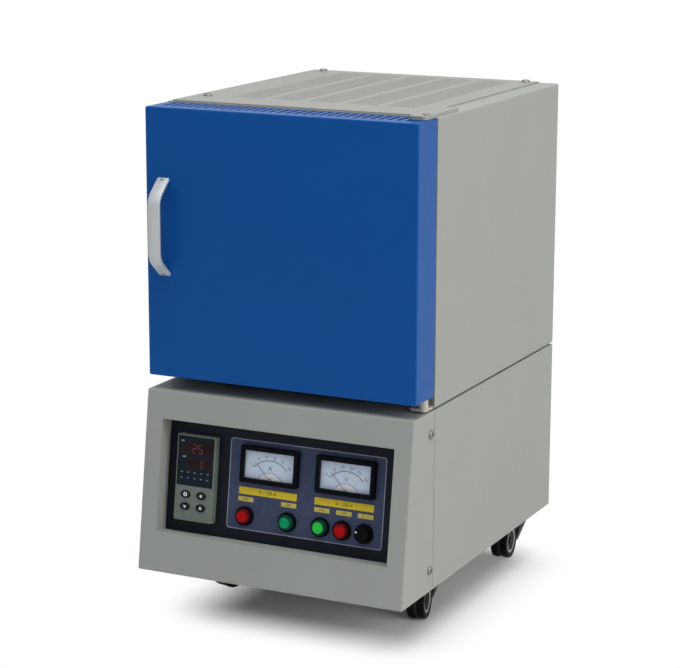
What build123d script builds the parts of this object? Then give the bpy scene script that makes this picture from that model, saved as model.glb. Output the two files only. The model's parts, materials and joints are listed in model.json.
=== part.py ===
from build123d import *
import os
from math import atan2, cos, degrees, radians, sin, sqrt

# Muffle furnace on castors: a heated upper body with a swing door, standing on a control cabinet.
# Millimetres, +Z up, the front towards -Y. The origin is on the floor, under the middle of the footprint.

# Housings
housing_depth = 350.0
sheet = 1.2
edge_radius = 1.8
side_space = 35.2
under_space = 21.1
terminal_space = 47.1
cabinet_height = 200.0
shadow_gap = 2.0
front_toe = 80.5
front_brow = 52.2
rear_reach = 24.0
panel_gap = 0.3
notch_gap = 0.1
rim_width = 12.0
strip_inset = 40.0
strip_setback = 24.0
vent_length = 30.0
vent_inset = 50.0
vent_margin = 50.0

# Door
door_rise = 13.0
door_drop = 0.5
door_depth = 49.0
door_gap = 2.8
door_sheet = 1.2
door_rim = 9.0
slot_pitch = 9.85
slot_width = 4.0
slot_setback = 13.5
slot_rear_margin = 2.7
slot_left = 15.0
slot_right = 19.0
handle_edge = 22.0
handle_rise = 166.3
handle_height = 109.5
handle_reach = 23.0
handle_width = 14.5
handle_thick = 4.0
handle_bend = 7.0
handle_chamfer = 0.7

# Door hinge
pin_inset = 7.5
pin_radius = 3.0
pin_running = 0.05
pin_head_step = 0.8
pin_head_height = 1.4
pin_head_round = 0.6
pin_chamfer = 0.8
shoulder_step = 2.2
swing_clearance = 0.34
hinge_inset = 2.0
hinge_width = 20.0
hinge_tail = 57.0
hinge_corner = 5.0
upper_nose_margin = 14.0
upper_hinge_thick = 4.0
lower_nose_margin = 7.0
lower_hinge_thick = 2.5
bush_length = 11.0
bush_half = 6.0
door_lift_gap = 0.3

# Top cover
cover_sheet = 1.5
cover_left_margin = 5.0
cover_hinge_gap = 1.0
cover_margin = 2.5
band_pitch = 46.0
band_width = 36.0
band_side = 45.0
band_front = 53.0
band_rear = 21.0
band_slot = 2.6
band_slot_pitch = 6.0
cover_rim = 4.0

# Hot chamber
chamber_width = 110.0
chamber_height = 100.0
chamber_depth = 150.0
chamber_corner = 2.5
muffle_wall = 40.0
muffle_collar = 33.0
jacket_wall = 28.0
jacket_back = 25.0
liner_sheet = 1.2
plug_clearance = 3.0
plug_taper = 5.0
plug_depth = 30.0
plug_board = 34.0
board_proud = 2.0
hearth_thick = 5.0
hearth_margin = 4.0
hearth_chamfer = 0.6

# Heating elements
element_inset = 8.0
element_span = 25.0
element_first = 47.0
element_pitch = 55.0
hot_radius = 1.6
cold_radius = 3.0
element_gap = 1.5
element_floor_gap = 12.0
element_rise = 20.0
clamp_wall = 2.5
clamp_height = 12.0
strap_thick = 1.6
probe_radius = 3.0
probe_rise = 25.0
probe_tip = 18.0
probe_head = 26.0
probe_head_round = 2.5

# Door switch
switch_width = 17.0
switch_height = 14.0
switch_depth = 26.0
plunger_radius = 2.5
plunger_depth = 16.0
plunger_travel = 2.0
plunger_round = 1.25

# Recessed control panel: levels run down the sloped front from its top edge
recess = 20.5
window_top = 31.3
panel_sheet = 2.0
panel_lap = 7.0
overlay_thick = 0.8
overlay_gap = 14.2
overlay_margin = 15.8
overlay_drop = 13.2
overlay_base = 12.3
overlay_foot = 15.6
overlay_end = 21.5
overlay_corner = 3.5

# Temperature controller
controller_side = 14.0
controller_drop = 15.2
controller_width = 48.0
controller_proud = 9.0
controller_body = 62.0
controller_shrink = 3.5
controller_corner = 1.5
controller_chamfer = 0.8
display_side = 1.5
display_height = 55.0
display_margin = 2.0
display_sunk = 0.2
display_thick = 1.0
key_width = 12.0
key_height = 8.2
key_gap = 0.3
key_air = 0.1
key_proud = 1.0
key_travel = 0.8
key_depth = 4.0
key_round = 0.6
key_columns = (-10.0, 9.5)
key_first = 9.5
key_row_pitch = 13.5
key_foot = 16.0

# Panel meters
meter_offsets = (50.5, 142.0)
meter_drop = 26.3
meter_rim_side = 4.75
meter_rim_end = 5.25
meter_corner = 2.5
meter_chamfer = 0.9
meter_floor = 0.5
meter_window_width = 60.5
meter_window_height = 30.5
meter_barrel = 18.0
meter_barrel_depth = 28.0
dial_thick = 0.6
needle_thick = 0.6
needle_air = 0.5
needle_length = 26.0
needle_width = 0.8
needle_hub = 2.2
needle_pin = 0.75
needle_pin_reach = 1.5
needle_pin_air = 0.5
glass_thick = 1.0
glass_sunk = 2.8
needle_rest = 45.0

# Push buttons and selector
button_drop = 84.4
button_offsets = (22.5, 74.5, 114.5, 140.5)
button_names = ("red_stop_button", "green_start_button", "green_on_button", "red_off_button")
selector_offset = 166.5
bezel_wall = 1.9
bezel_height = 3.6
bezel_floor = 1.0
bezel_round = 0.9
cap_radius = 8.5
cap_gap = 0.35
cap_air = 0.2
button_travel = 1.8
cap_height = 4.4
cap_round = 2.0
knob_height = 6.2
knob_round = 1.0
pointer_radius = 1.1
pointer_depth = 0.6
pointer_inset = 2.3
pointer_turn = 160.0
barrel_radius = 6.0
barrel_depth = 24.0
barrel_gap = 0.2
stem_radius = 3.0
stem_air = 2.2

# Castors
castor_front_inset = 46.5
castor_rear_inset = 39.7
castor_front = 86.5
castor_rear = 22.2
castor_plate = 40.0
castor_plate_thick = 2.5
raceway_radius = 15.0
raceway_height = 3.8
stud_radius = 2.0
stud_inset = 5.0
stud_reach = 1.0
wheel_radius = 21.0
wheel_width = 8.0
wheel_side_gap = 0.4
wheel_chamfer = 1.2
wheel_air = 1.3
web_thick = 3.0
web_short = 1.1
trail = 28.0
hood_radius = 20.5
hood_height = 6.6
hood_gap = 0.3
guard_gap = 1.2
guard_thick = 2.2
guard_width = 19.0
guard_low = 20.0
guard_lip = 10.5
neck_low = 14.0
neck_foot = 9.0
axle_radius = 2.0
king_radius = 3.0
king_short = 1.5

# Rear wall and what stands inside the cabinet
fan_inset = 80.0
fan_rise = 109.5
fan_side = 80.0
fan_thick = 25.0
fan_corner = 3.0
fan_wall = 2.5
fan_hub = 16.0
spoke_width = 4.0
spoke_thick = 4.0
rotor_air = 0.5
rotor_length = 15.0
blade_count = 7
blade_thick = 1.6
blade_chord = 17.0
blade_lean = 0.9
blade_tip_gap = 2.5
blade_root = 1.0
fan_shaft = 1.5
grille_pitch = 8.0
breaker_inset = 120.0
breaker_rise = 133.5
breaker_width = 36.0
breaker_height = 74.0
breaker_depth = 58.0
breaker_face = 45.0
breaker_proud = 4.0
breaker_round = 0.8
toggle_sunk = 2.0
toggle_width = 20.0
toggle_radius = 6.0
toggle_lever = 9.0
toggle_thick = 5.0
toggle_tilt = 20.0
toggle_round = 1.2
gland_inset = 50.0
gland_rise = 38.5
gland_body = 8.0
gland_wall = 3.4
gland_nut_step = 3.0
gland_nut_thick = 5.0
gland_cap_length = 11.0
gland_tip = 2.0
gland_round = 1.5
core_setback = 150.0
core_leg = 16.0
core_depth = 58.0
coil_gap = 2.0
coil_corner = 4.0
coil_proud = 17.0
heatsink_inset = 63.5
heatsink_length = 90.0
heatsink_width = 62.0
heatsink_height = 46.0
heatsink_base = 6.0
fin_count = 11
fin_thick = 1.8
module_margin = 5.0
module_side = 14.0
module_height = 28.0

# Screws
screw_radius = 2.0
screw_clearance = 0.15
screw_head = 3.8
screw_head_height = 1.9
dome_head = 4.9
dome_height = 2.6
screw_length = 6.0
cross_width = 0.8
flush_cross = 0.6
side_screw_forward = 10.0
side_screw_low = 24.5
side_screw_high = 24.2
cover_screw_inset = 17.0
cover_screw_front = 49.5
cover_screw_corner = 13.0
corner_screw_inset = 8.0

# Chamber shells, from the inside out
muffle_width = chamber_width + 2 * muffle_wall
muffle_height = chamber_height + 2 * muffle_wall
jacket_width = muffle_width + 2 * jacket_wall
jacket_height = muffle_height + 2 * jacket_wall
liner_width = jacket_width + 2 * liner_sheet
liner_height = jacket_height + 2 * liner_sheet
mouth_width = chamber_width + 2 * muffle_collar
mouth_height = chamber_height + 2 * muffle_collar

# Housing sizes, levels and upright planes
width = 2 * (sheet + side_space) + liner_width
half = width / 2
inner_half = half - sheet
body_height = 2 * sheet + under_space + liner_height + terminal_space
castor_height = 2 * wheel_radius + wheel_air + hood_height + hood_gap + raceway_height + castor_plate_thick
slope_run = front_toe - front_brow
slope_tilt = degrees(atan2(slope_run, cabinet_height))
toe_round = edge_radius * (slope_run / cabinet_height + 1 / cos(radians(slope_tilt)) - 1)
front = -(housing_depth + rear_reach - front_toe + toe_round) / 2
rear = front + housing_depth
inside_rear = rear - sheet
cabinet_base = castor_height
cabinet_floor = cabinet_base + sheet
cabinet_top = cabinet_base + cabinet_height
cabinet_mid = (cabinet_base + cabinet_top) / 2
body_base = cabinet_top + shadow_gap
body_top = body_base + body_height
body_mid = (body_base + body_top) / 2
chamber_z = body_base + sheet + under_space + liner_height / 2
chamber_floor = chamber_z - chamber_height / 2
chamber_roof = chamber_z + chamber_height / 2
liner_roof = chamber_z + liner_height / 2
muffle_back = front + sheet + chamber_depth + muffle_wall
jacket_rear = muffle_back + jacket_back
liner_rear = jacket_rear + liner_sheet
probe_z = chamber_z + probe_rise

# Door, hinge and cover places
door_bottom = body_base + door_rise
door_top = body_top - door_drop
door_mid = (door_bottom + door_top) / 2
door_height = door_top - door_bottom
door_front = front - door_depth
door_back = front - door_gap
slot_length = door_depth - door_gap - slot_setback - slot_rear_margin
slot_count = int((width - slot_left - slot_right) / slot_pitch) + 1
slot_middle = -half + slot_left + (slot_count - 1) * slot_pitch / 2
handle_x = -half + handle_edge
handle_z = door_bottom + handle_rise
# The pin stands far enough forward for the door's rear corner to swing clear of the body
pin_forward = (pin_inset**2 + door_gap**2 - swing_clearance**2) / (2 * (door_gap - swing_clearance))
pin_x = half - pin_inset
pin_y = front - pin_forward
hinge_right = half - hinge_inset
hinge_left = hinge_right - hinge_width
cover_left = -half + cover_left_margin
cover_right = hinge_left - cover_hinge_gap
cover_front = front + cover_margin
cover_rear = rear - cover_margin
band_count = int((width - 2 * band_side - band_width) / band_pitch) + 1
band_span = (band_count - 1) * band_pitch + band_width
band_length = housing_depth - band_front - band_rear
screw_hole = screw_radius + screw_clearance
flush_depth = screw_head - screw_radius

# Panel places on the slope
overlay_width = selector_offset + overlay_end
overlay_height = button_drop + overlay_foot
window_width = controller_side + controller_width + overlay_gap + overlay_width + overlay_margin
window_height = overlay_drop + overlay_height + overlay_base
window_mid = -(window_top + window_height / 2)
controller_x = -window_width / 2 + controller_side + controller_width / 2
controller_height = display_margin + display_height + key_first + key_row_pitch + key_foot
controller_top = window_top + controller_drop
controller_mid = -(controller_top + controller_height / 2)
overlay_left = controller_x + controller_width / 2 + overlay_gap
overlay_top = window_top + overlay_drop
meter_level = overlay_top + meter_drop
button_level = overlay_top + button_drop
selector_x = overlay_left + selector_offset
meter_width = meter_window_width + 2 * meter_rim_side
meter_height = meter_window_height + 2 * meter_rim_end
meter_proud = meter_floor + dial_thick + 2 * needle_air + needle_thick + glass_thick + glass_sunk
bezel_radius = cap_radius + cap_gap + bezel_wall
cap_rest = bezel_floor + button_travel + cap_air

slope_out = (0, -cos(radians(slope_tilt)), sin(radians(slope_tilt)))
slope_plane = Plane(origin=(0, front - front_brow, cabinet_top), x_dir=(1, 0, 0), z_dir=slope_out)
panel_plane = slope_plane.offset(-recess)
overlay_plane = panel_plane.offset(overlay_thick)
controller_face = panel_plane.offset(controller_proud)
outward_axis = Axis(panel_plane.origin, panel_plane.z_dir)

os.makedirs("parts", exist_ok=True)


def at_x(x):
    return Plane.YZ.offset(x)


def at_y(y):
    return Plane.XZ.offset(-y)


def at_z(z):
    return Plane.XY.offset(z)


def keep(builder, name):
    builder.part.label = name
    export_step(builder.part, f"parts/{name}.step")


def block(x0, x1, y0, y1, z0, z1, mode=Mode.ADD):
    # A box between two opposite corners
    with Locations(((x0 + x1) / 2, (y0 + y1) / 2, (z0 + z1) / 2)):
        Box(x1 - x0, y1 - y0, z1 - z0, mode=mode)


def drill(places, radius, depth):
    # Round holes that run both ways from each place, along its outward direction
    for place, outward in places:
        with Locations(Plane(origin=place, z_dir=outward)):
            Cylinder(radius, 2 * depth, mode=Mode.SUBTRACT)


def flush_cones(places, mode):
    # Cones as deep as a countersunk head, flush with the surface at each place
    for place, outward in places:
        with Locations(Plane(origin=place, z_dir=outward).offset(-flush_depth / 2)):
            Cone(screw_radius, screw_head, flush_depth, mode=mode)


# Screw places: the point under each head and the way the head faces
side_screws = [
    ((side * half, front - side_screw_forward, level), (side, 0, 0))
    for side in (-1, 1)
    for level in (cabinet_base + side_screw_low, cabinet_top - side_screw_high)
]
cover_screws = [
    ((cover_left + cover_screw_inset, front + cover_screw_front, body_top + cover_sheet), (0, 0, 1)),
    ((cover_left + cover_screw_inset, rear - cover_screw_corner, body_top + cover_sheet), (0, 0, 1)),
    ((cover_right - cover_screw_corner, rear - cover_screw_corner, body_top + cover_sheet), (0, 0, 1)),
]


def corner_screws(y, outward, low, high):
    return [
        ((side * (inner_half - corner_screw_inset), y, level), (0, outward, 0))
        for side in (-1, 1)
        for level in (low + corner_screw_inset, high - corner_screw_inset)
    ]


cabinet_rear_screws = corner_screws(rear, 1, cabinet_base + sheet, cabinet_top - sheet)
body_rear_screws = corner_screws(rear, 1, body_base + sheet, body_top - sheet)
face_screws = corner_screws(front, -1, body_base + sheet + lower_hinge_thick, body_top - sheet)
domed_screws = side_screws + cover_screws + cabinet_rear_screws + body_rear_screws


# Upper body

with BuildPart() as upper_casing:
    with BuildSketch(at_y(rear)):
        with Locations((0, body_mid)):
            RectangleRounded(width, body_height, edge_radius)
            RectangleRounded(width - 2 * sheet, body_height - 2 * sheet, edge_radius - sheet, mode=Mode.SUBTRACT)
    extrude(amount=housing_depth)
    # Rims inside both ends carry the face plate and the rear panel
    for rim_y in (front + 2 * sheet, rear - sheet):
        with BuildSketch(at_y(rim_y)):
            with Locations((0, body_mid)):
                Rectangle(width - 2 * sheet, body_height - 2 * sheet)
                Rectangle(
                    width - 2 * sheet - 2 * rim_width,
                    body_height - 2 * sheet - 2 * rim_width,
                    mode=Mode.SUBTRACT,
                )
        extrude(amount=sheet)
    # The roof is open under the perforated bands
    block(
        -band_span / 2 - cover_rim,
        band_span / 2 + cover_rim,
        front + band_front - cover_rim,
        rear - band_rear + cover_rim,
        body_top - 2 * sheet,
        body_top + sheet,
        mode=Mode.SUBTRACT,
    )
    # Notch for the lower hinge bracket
    block(
        hinge_left - notch_gap,
        hinge_right + notch_gap,
        front - sheet,
        front + hinge_tail + notch_gap,
        body_base - sheet,
        body_base + lower_hinge_thick + notch_gap,
        mode=Mode.SUBTRACT,
    )
    # Packing strips hold the body off the cabinet
    for side in (-1, 1):
        block(
            side * (half - strip_inset) - rim_width / 2,
            side * (half - strip_inset) + rim_width / 2,
            front + strip_setback,
            rear - strip_setback,
            cabinet_top,
            body_base,
        )
    drill(cover_screws, screw_hole, screw_length)
    drill(body_rear_screws + face_screws, screw_radius, screw_length)
    flush_cones(face_screws, Mode.SUBTRACT)
keep(upper_casing, "upper_casing")

with BuildPart() as top_cover:
    with BuildSketch(at_z(body_top)):
        with Locations(((cover_left + cover_right) / 2, (cover_front + cover_rear) / 2)):
            RectangleRounded(cover_right - cover_left, cover_rear - cover_front, edge_radius)
        slots_in_band = int(band_length // band_slot_pitch)
        with Locations((0, front + band_front + band_length / 2)):
            with GridLocations(band_pitch, band_slot_pitch, band_count, slots_in_band):
                Rectangle(band_width, band_slot, mode=Mode.SUBTRACT)
    extrude(amount=cover_sheet)
    drill(cover_screws, screw_hole, screw_length)
keep(top_cover, "top_cover")


# Chamber shells: muffle inside its jacket inside a steel liner, all on one centre

element_x = chamber_width / 2 - element_inset
element_legs = [
    (side * element_x, front + element_first + pair * element_pitch + leg * element_span / 2)
    for side in (-1, 1)
    for pair in (0, 1)
    for leg in (-1, 1)
]


def element_holes():
    # Clearance holes round the cold ends, from the chamber up through the liner
    reach = liner_height - chamber_height
    with Locations(*[(x, y, chamber_roof + reach / 2) for x, y in element_legs]):
        Cylinder(cold_radius + element_gap, reach + 2 * sheet, mode=Mode.SUBTRACT)


def probe_hole(y, depth):
    with Locations(Plane(origin=(0, y, probe_z), z_dir=(0, 1, 0))):
        Cylinder(probe_radius + panel_gap, depth, mode=Mode.SUBTRACT)


with BuildPart() as inner_casing:
    face_low = body_base + lower_hinge_thick + panel_gap
    face_high = body_top - sheet - panel_gap
    block(-inner_half + panel_gap, inner_half - panel_gap, front, front + sheet, face_low, face_high)
    with BuildSketch(at_y(liner_rear)):
        with Locations((0, chamber_z)):
            Rectangle(liner_width, liner_height)
    extrude(amount=liner_rear - front - sheet)
    with BuildSketch(at_y(jacket_rear)):
        with Locations((0, chamber_z)):
            Rectangle(jacket_width, jacket_height)
    extrude(amount=jacket_rear - front - sheet, mode=Mode.SUBTRACT)
    with BuildSketch(at_y(front + 2 * sheet)):
        with Locations((0, chamber_z)):
            Rectangle(mouth_width, mouth_height)
    extrude(amount=3 * sheet, mode=Mode.SUBTRACT)
    element_holes()
    probe_hole(liner_rear, 4 * sheet)
    drill(face_screws, screw_radius, screw_length)
    flush_cones(face_screws, Mode.SUBTRACT)
    # Hole for the plunger of the door switch
    switch_x = -(liner_width / 2 + inner_half - rim_width) / 2
    switch_z = chamber_floor
    with Locations(Plane(origin=(switch_x, front, switch_z), z_dir=(0, -1, 0))):
        Cylinder(plunger_radius + panel_gap, 4 * sheet, mode=Mode.SUBTRACT)
keep(inner_casing, "inner_casing")

with BuildPart() as insulation_jacket:
    with BuildSketch(at_y(jacket_rear)):
        with Locations((0, chamber_z)):
            Rectangle(jacket_width, jacket_height)
    extrude(amount=jacket_rear - front - sheet)
    with BuildSketch(at_y(muffle_back)):
        with Locations((0, chamber_z)):
            Rectangle(muffle_width, muffle_height)
    extrude(amount=muffle_back - front, mode=Mode.SUBTRACT)
    element_holes()
    probe_hole(jacket_rear, 4 * jacket_back)
keep(insulation_jacket, "insulation_jacket")

with BuildPart() as muffle_chamber:
    with BuildSketch(at_y(muffle_back)):
        with Locations((0, chamber_z)):
            Rectangle(muffle_width, muffle_height)
    extrude(amount=muffle_back - front - sheet)
    with BuildSketch(at_y(front + sheet)):
        with Locations((0, chamber_z)):
            Rectangle(mouth_width - panel_gap, mouth_height - panel_gap)
    extrude(amount=sheet)
    with BuildSketch(at_y(front + sheet + chamber_depth)):
        with Locations((0, chamber_z)):
            RectangleRounded(chamber_width, chamber_height, chamber_corner)
    extrude(amount=chamber_depth + 2 * sheet, mode=Mode.SUBTRACT)
    element_holes()
    probe_hole(muffle_back, 4 * muffle_wall)
keep(muffle_chamber, "muffle_chamber")

with BuildPart() as hearth_plate:
    with BuildSketch(at_z(chamber_floor)):
        with Locations((0, front + sheet + (chamber_depth + plug_depth) / 2)):
            RectangleRounded(
                2 * (element_x - hot_radius - hearth_margin),
                chamber_depth - plug_depth - 2 * hearth_margin,
                chamber_corner,
            )
    extrude(amount=hearth_thick)
    chamfer(hearth_plate.faces().sort_by(Axis.Z)[-1].edges(), hearth_chamfer)
keep(hearth_plate, "hearth_plate")

# Each heating element is a hairpin that hangs from its two thick cold ends
leg_low = chamber_floor + element_floor_gap + element_span / 2
leg_top = liner_roof + element_rise
with BuildPart() as heating_elements:
    with Locations(*[(x, y, (leg_low + chamber_roof) / 2) for x, y in element_legs]):
        Cylinder(hot_radius, chamber_roof - leg_low)
    with Locations(*[(x, y, (chamber_roof + leg_top) / 2) for x, y in element_legs]):
        Cylinder(cold_radius, leg_top - chamber_roof)
    for side in (-1, 1):
        for pair in (0, 1):
            bend_y = front + element_first + pair * element_pitch
            with BuildSketch(Plane(origin=(side * element_x, bend_y, leg_low), z_dir=(0, 0, 1))):
                with Locations((0, element_span / 2)):
                    Circle(hot_radius)
            revolve(
                axis=Axis((side * element_x, bend_y, leg_low), (-1, 0, 0)),
                revolution_arc=180,
            )
keep(heating_elements, "heating_elements")

with BuildPart() as element_terminals:
    clamp_side = 2 * (cold_radius + clamp_wall)
    with Locations(*[(x, y, liner_roof + clamp_height / 2) for x, y in element_legs]):
        Box(clamp_side, clamp_side, clamp_height)
    # Straps join neighbouring legs in series, and one strap crosses from side to side
    strap_z = liner_roof + clamp_height
    middle_gap = element_pitch - element_span
    for side in (-1, 1):
        strap_y = front + element_first + element_pitch / 2
        block(
            side * element_x - clamp_side / 2,
            side * element_x + clamp_side / 2,
            strap_y - middle_gap / 2 - clamp_side / 2,
            strap_y + middle_gap / 2 + clamp_side / 2,
            strap_z,
            strap_z + strap_thick,
        )
    cross_y = front + element_first + element_pitch + element_span / 2
    block(
        -element_x - clamp_side / 2,
        element_x + clamp_side / 2,
        cross_y - clamp_side / 2,
        cross_y + clamp_side / 2,
        strap_z,
        strap_z + strap_thick,
    )
    with Locations(*[(x, y, liner_roof + clamp_height / 2) for x, y in element_legs]):
        Cylinder(cold_radius, 2 * clamp_height, mode=Mode.SUBTRACT)
keep(element_terminals, "element_terminals")

with BuildPart() as thermocouple:
    probe_front = front + sheet + chamber_depth - probe_tip
    with BuildSketch(at_y(probe_front)):
        with Locations((0, probe_z)):
            Circle(probe_radius)
    extrude(amount=-(liner_rear - probe_front))
    with BuildSketch(at_y(liner_rear + probe_head)):
        with Locations((0, probe_z)):
            Circle(probe_head / 2)
    extrude(amount=probe_head)
    fillet(thermocouple.faces().sort_by(Axis.Y)[-1].edges(), probe_head_round)
keep(thermocouple, "thermocouple")

with BuildPart() as upper_rear_panel:
    with BuildSketch(at_y(rear)):
        with Locations((0, body_mid)):
            RectangleRounded(
                width - 2 * sheet - 2 * panel_gap,
                body_height - 2 * sheet - 2 * panel_gap,
                edge_radius,
            )
        vent_count = int((width - 2 * vent_inset) / slot_pitch) + 1
        with Locations((0, body_base + vent_margin), (0, body_top - vent_margin)):
            with GridLocations(slot_pitch, 1, vent_count, 1):
                SlotOverall(vent_length, slot_width, rotation=90, mode=Mode.SUBTRACT)
    extrude(amount=sheet)
    drill(body_rear_screws, screw_hole, screw_length)
keep(upper_rear_panel, "upper_rear_panel")


# Door and its hinge

handle_feet = [
    ((handle_x, door_front, handle_z + end * (handle_height / 2 - handle_thick)), (0, -1, 0)) for end in (-1, 1)
]
bush_levels = (door_bottom + door_sheet, door_top - door_sheet - bush_length)
with BuildPart() as door_shell:
    with BuildSketch(at_y(door_back)):
        with Locations((0, door_mid)):
            Rectangle(width, door_height)
    extrude(amount=door_back - door_front)
    fillet(door_shell.faces().sort_by(Axis.Y)[0].edges() + door_shell.edges().filter_by(Axis.Y), edge_radius)
    with BuildSketch(at_y(door_back)):
        with Locations((0, door_mid)):
            RectangleRounded(width - 2 * door_sheet, door_height - 2 * door_sheet, edge_radius - door_sheet)
    extrude(amount=door_back - door_front - door_sheet, mode=Mode.SUBTRACT)
    # A rim inside the rear edge carries the back pan
    with BuildSketch(at_y(door_back - door_sheet)):
        with Locations((0, door_mid)):
            Rectangle(width - 2 * door_sheet, door_height - 2 * door_sheet)
            Rectangle(
                width - 2 * door_sheet - 2 * door_rim,
                door_height - 2 * door_sheet - 2 * door_rim,
                mode=Mode.SUBTRACT,
            )
    extrude(amount=door_sheet)
    # Bushes for the hinge pins, welded inside the bottom and top walls
    for level in bush_levels:
        block(
            pin_x - bush_half,
            half - door_sheet,
            pin_y - bush_half,
            pin_y + bush_half,
            level,
            level + bush_length,
        )
    with Locations((pin_x, pin_y, door_mid)):
        Cylinder(pin_radius + pin_running, 2 * door_height, mode=Mode.SUBTRACT)
    # Cooling slots run front to back in the top and bottom walls
    with BuildSketch(at_z(door_bottom - sheet)):
        with Locations((slot_middle, door_front + slot_setback + slot_length / 2)):
            with GridLocations(slot_pitch, 1, slot_count, 1):
                SlotOverall(slot_length, slot_width, rotation=90)
    extrude(amount=door_height + 2 * sheet, mode=Mode.SUBTRACT)
    drill(handle_feet, screw_hole, screw_length)
keep(door_shell, "door_shell")

with BuildPart() as door_back_pan:
    with BuildSketch(at_y(door_back)):
        with Locations((0, door_mid)):
            RectangleRounded(
                width - 2 * door_sheet - 2 * panel_gap,
                door_height - 2 * door_sheet - 2 * panel_gap,
                edge_radius,
            )
    extrude(amount=door_sheet)
    # The tray that holds the insulating board is as wide as the mouth of the muffle
    with BuildSketch(at_y(door_back)):
        with Locations((0, chamber_z)):
            Rectangle(mouth_width + 2 * door_sheet, mouth_height + 2 * door_sheet)
    extrude(amount=plug_board + door_sheet)
    with BuildSketch(at_y(door_back)):
        with Locations((0, chamber_z)):
            Rectangle(mouth_width, mouth_height)
    extrude(amount=plug_board, mode=Mode.SUBTRACT)
keep(door_back_pan, "door_back_pan")

with BuildPart() as door_plug:
    with BuildSketch(at_y(door_back + board_proud)):
        with Locations((0, chamber_z)):
            Rectangle(mouth_width, mouth_height)
    extrude(amount=plug_board + board_proud)
    with BuildSketch(at_y(door_back + board_proud)):
        with Locations((0, chamber_z)):
            RectangleRounded(
                chamber_width - 2 * plug_clearance,
                chamber_height - 2 * plug_clearance,
                chamber_corner,
            )
    with BuildSketch(at_y(front + plug_depth)):
        with Locations((0, chamber_z)):
            RectangleRounded(
                chamber_width - 2 * plug_clearance - 2 * plug_taper,
                chamber_height - 2 * plug_clearance - 2 * plug_taper,
                chamber_corner,
            )
    loft()
keep(door_plug, "door_plug")

with BuildPart() as door_handle:
    # A flat strap bent into a bow: two slanted legs and a straight grip
    strap_mid = handle_reach - handle_thick / 2
    leg_end = handle_height / 2 - handle_thick * 0.8
    with BuildSketch(at_x(handle_x)):
        with BuildLine():
            FilletPolyline(
                (door_front + handle_thick, handle_z + leg_end + handle_thick),
                (door_front - strap_mid, handle_z + leg_end - strap_mid),
                (door_front - strap_mid, handle_z - leg_end + strap_mid),
                (door_front + handle_thick, handle_z - leg_end - handle_thick),
                radius=handle_bend,
            )
        trace(line_width=handle_thick)
        with Locations((door_front + handle_reach, handle_z)):
            Rectangle(2 * handle_reach, 2 * handle_height, mode=Mode.SUBTRACT)
    extrude(amount=handle_width / 2, both=True)
    long_edges = door_handle.faces().filter_by(Plane.YZ).edges()
    chamfer(long_edges.filter_by(lambda edge: edge.center().Y < door_front - sheet), handle_chamfer)
    drill(handle_feet, screw_radius, handle_thick)
keep(door_handle, "door_handle")

with BuildPart() as handle_screws:
    for place, outward in handle_feet:
        inside = Plane(origin=(place[0], door_front + door_sheet, place[2]), z_dir=(0, 1, 0))
        with Locations(inside.offset(screw_head_height / 2)):
            Cylinder(screw_head, screw_head_height)
        with Locations(inside.offset(-(door_sheet + handle_thick) / 2)):
            Cylinder(screw_radius, door_sheet + handle_thick)
keep(handle_screws, "handle_screws")


def hinge_leaf(nose_margin, low, thick):
    # A flat leaf on the body that reaches past the hinge pin
    nose = pin_forward + nose_margin
    with BuildPart() as leaf:
        with BuildSketch(at_z(low)):
            with Locations(((hinge_left + hinge_right) / 2, front + (hinge_tail - nose) / 2)):
                Rectangle(hinge_width, hinge_tail + nose)
        extrude(amount=thick)
        fillet(leaf.edges().filter_by(Axis.Z).group_by(Axis.Y)[0], hinge_corner)
        with Locations((pin_x, pin_y, low)):
            Cylinder(pin_radius, 4 * thick, mode=Mode.SUBTRACT)
    return leaf


keep(hinge_leaf(upper_nose_margin, body_top, upper_hinge_thick), "upper_hinge_plate")
keep(hinge_leaf(lower_nose_margin, body_base, lower_hinge_thick), "lower_hinge_bracket")

with BuildPart() as upper_hinge_pin:
    pin_top = body_top + upper_hinge_thick
    pin_foot = door_top - door_sheet - bush_length
    with Locations((pin_x, pin_y, (pin_top + pin_foot) / 2)):
        Cylinder(pin_radius, pin_top - pin_foot)
    with Locations((pin_x, pin_y, pin_top + pin_head_height / 2)):
        Cylinder(pin_radius + pin_head_step, pin_head_height)
    fillet(upper_hinge_pin.faces().sort_by(Axis.Z)[-1].edges(), pin_head_round)
keep(upper_hinge_pin, "upper_hinge_pin")

with BuildPart() as lower_hinge_pin:
    shoulder_low = body_base + lower_hinge_thick
    shoulder_high = door_bottom - door_lift_gap
    pin_tip = door_bottom + door_sheet + bush_length
    with Locations((pin_x, pin_y, (body_base + pin_tip) / 2)):
        Cylinder(pin_radius, pin_tip - body_base)
    with Locations((pin_x, pin_y, (shoulder_low + shoulder_high) / 2)):
        Cylinder(pin_radius + shoulder_step, shoulder_high - shoulder_low)
    chamfer(lower_hinge_pin.faces().sort_by(Axis.Z)[-1].edges(), pin_chamfer)
keep(lower_hinge_pin, "lower_hinge_pin")

# Door switch: a body behind the face plate and a sprung plunger that the door presses
plunger_reach = door_gap - panel_gap
plunger_tail = front + sheet + plunger_depth
with BuildPart() as door_switch:
    block(
        switch_x - switch_width / 2,
        switch_x + switch_width / 2,
        front + sheet,
        front + sheet + switch_depth,
        switch_z - switch_height / 2,
        switch_z + switch_height / 2,
    )
    with BuildSketch(at_y(plunger_tail + plunger_travel)):
        with Locations((switch_x, switch_z)):
            Circle(plunger_radius + pin_running)
    extrude(amount=plunger_depth + plunger_travel, mode=Mode.SUBTRACT)
keep(door_switch, "door_switch")

with BuildPart() as door_switch_plunger:
    with BuildSketch(at_y(plunger_tail)):
        with Locations((switch_x, switch_z)):
            Circle(plunger_radius)
    extrude(amount=sheet + plunger_depth + plunger_reach)
    fillet(door_switch_plunger.faces().sort_by(Axis.Y)[0].edges(), plunger_round)
keep(door_switch_plunger, "door_switch_plunger")


# Control cabinet

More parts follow.
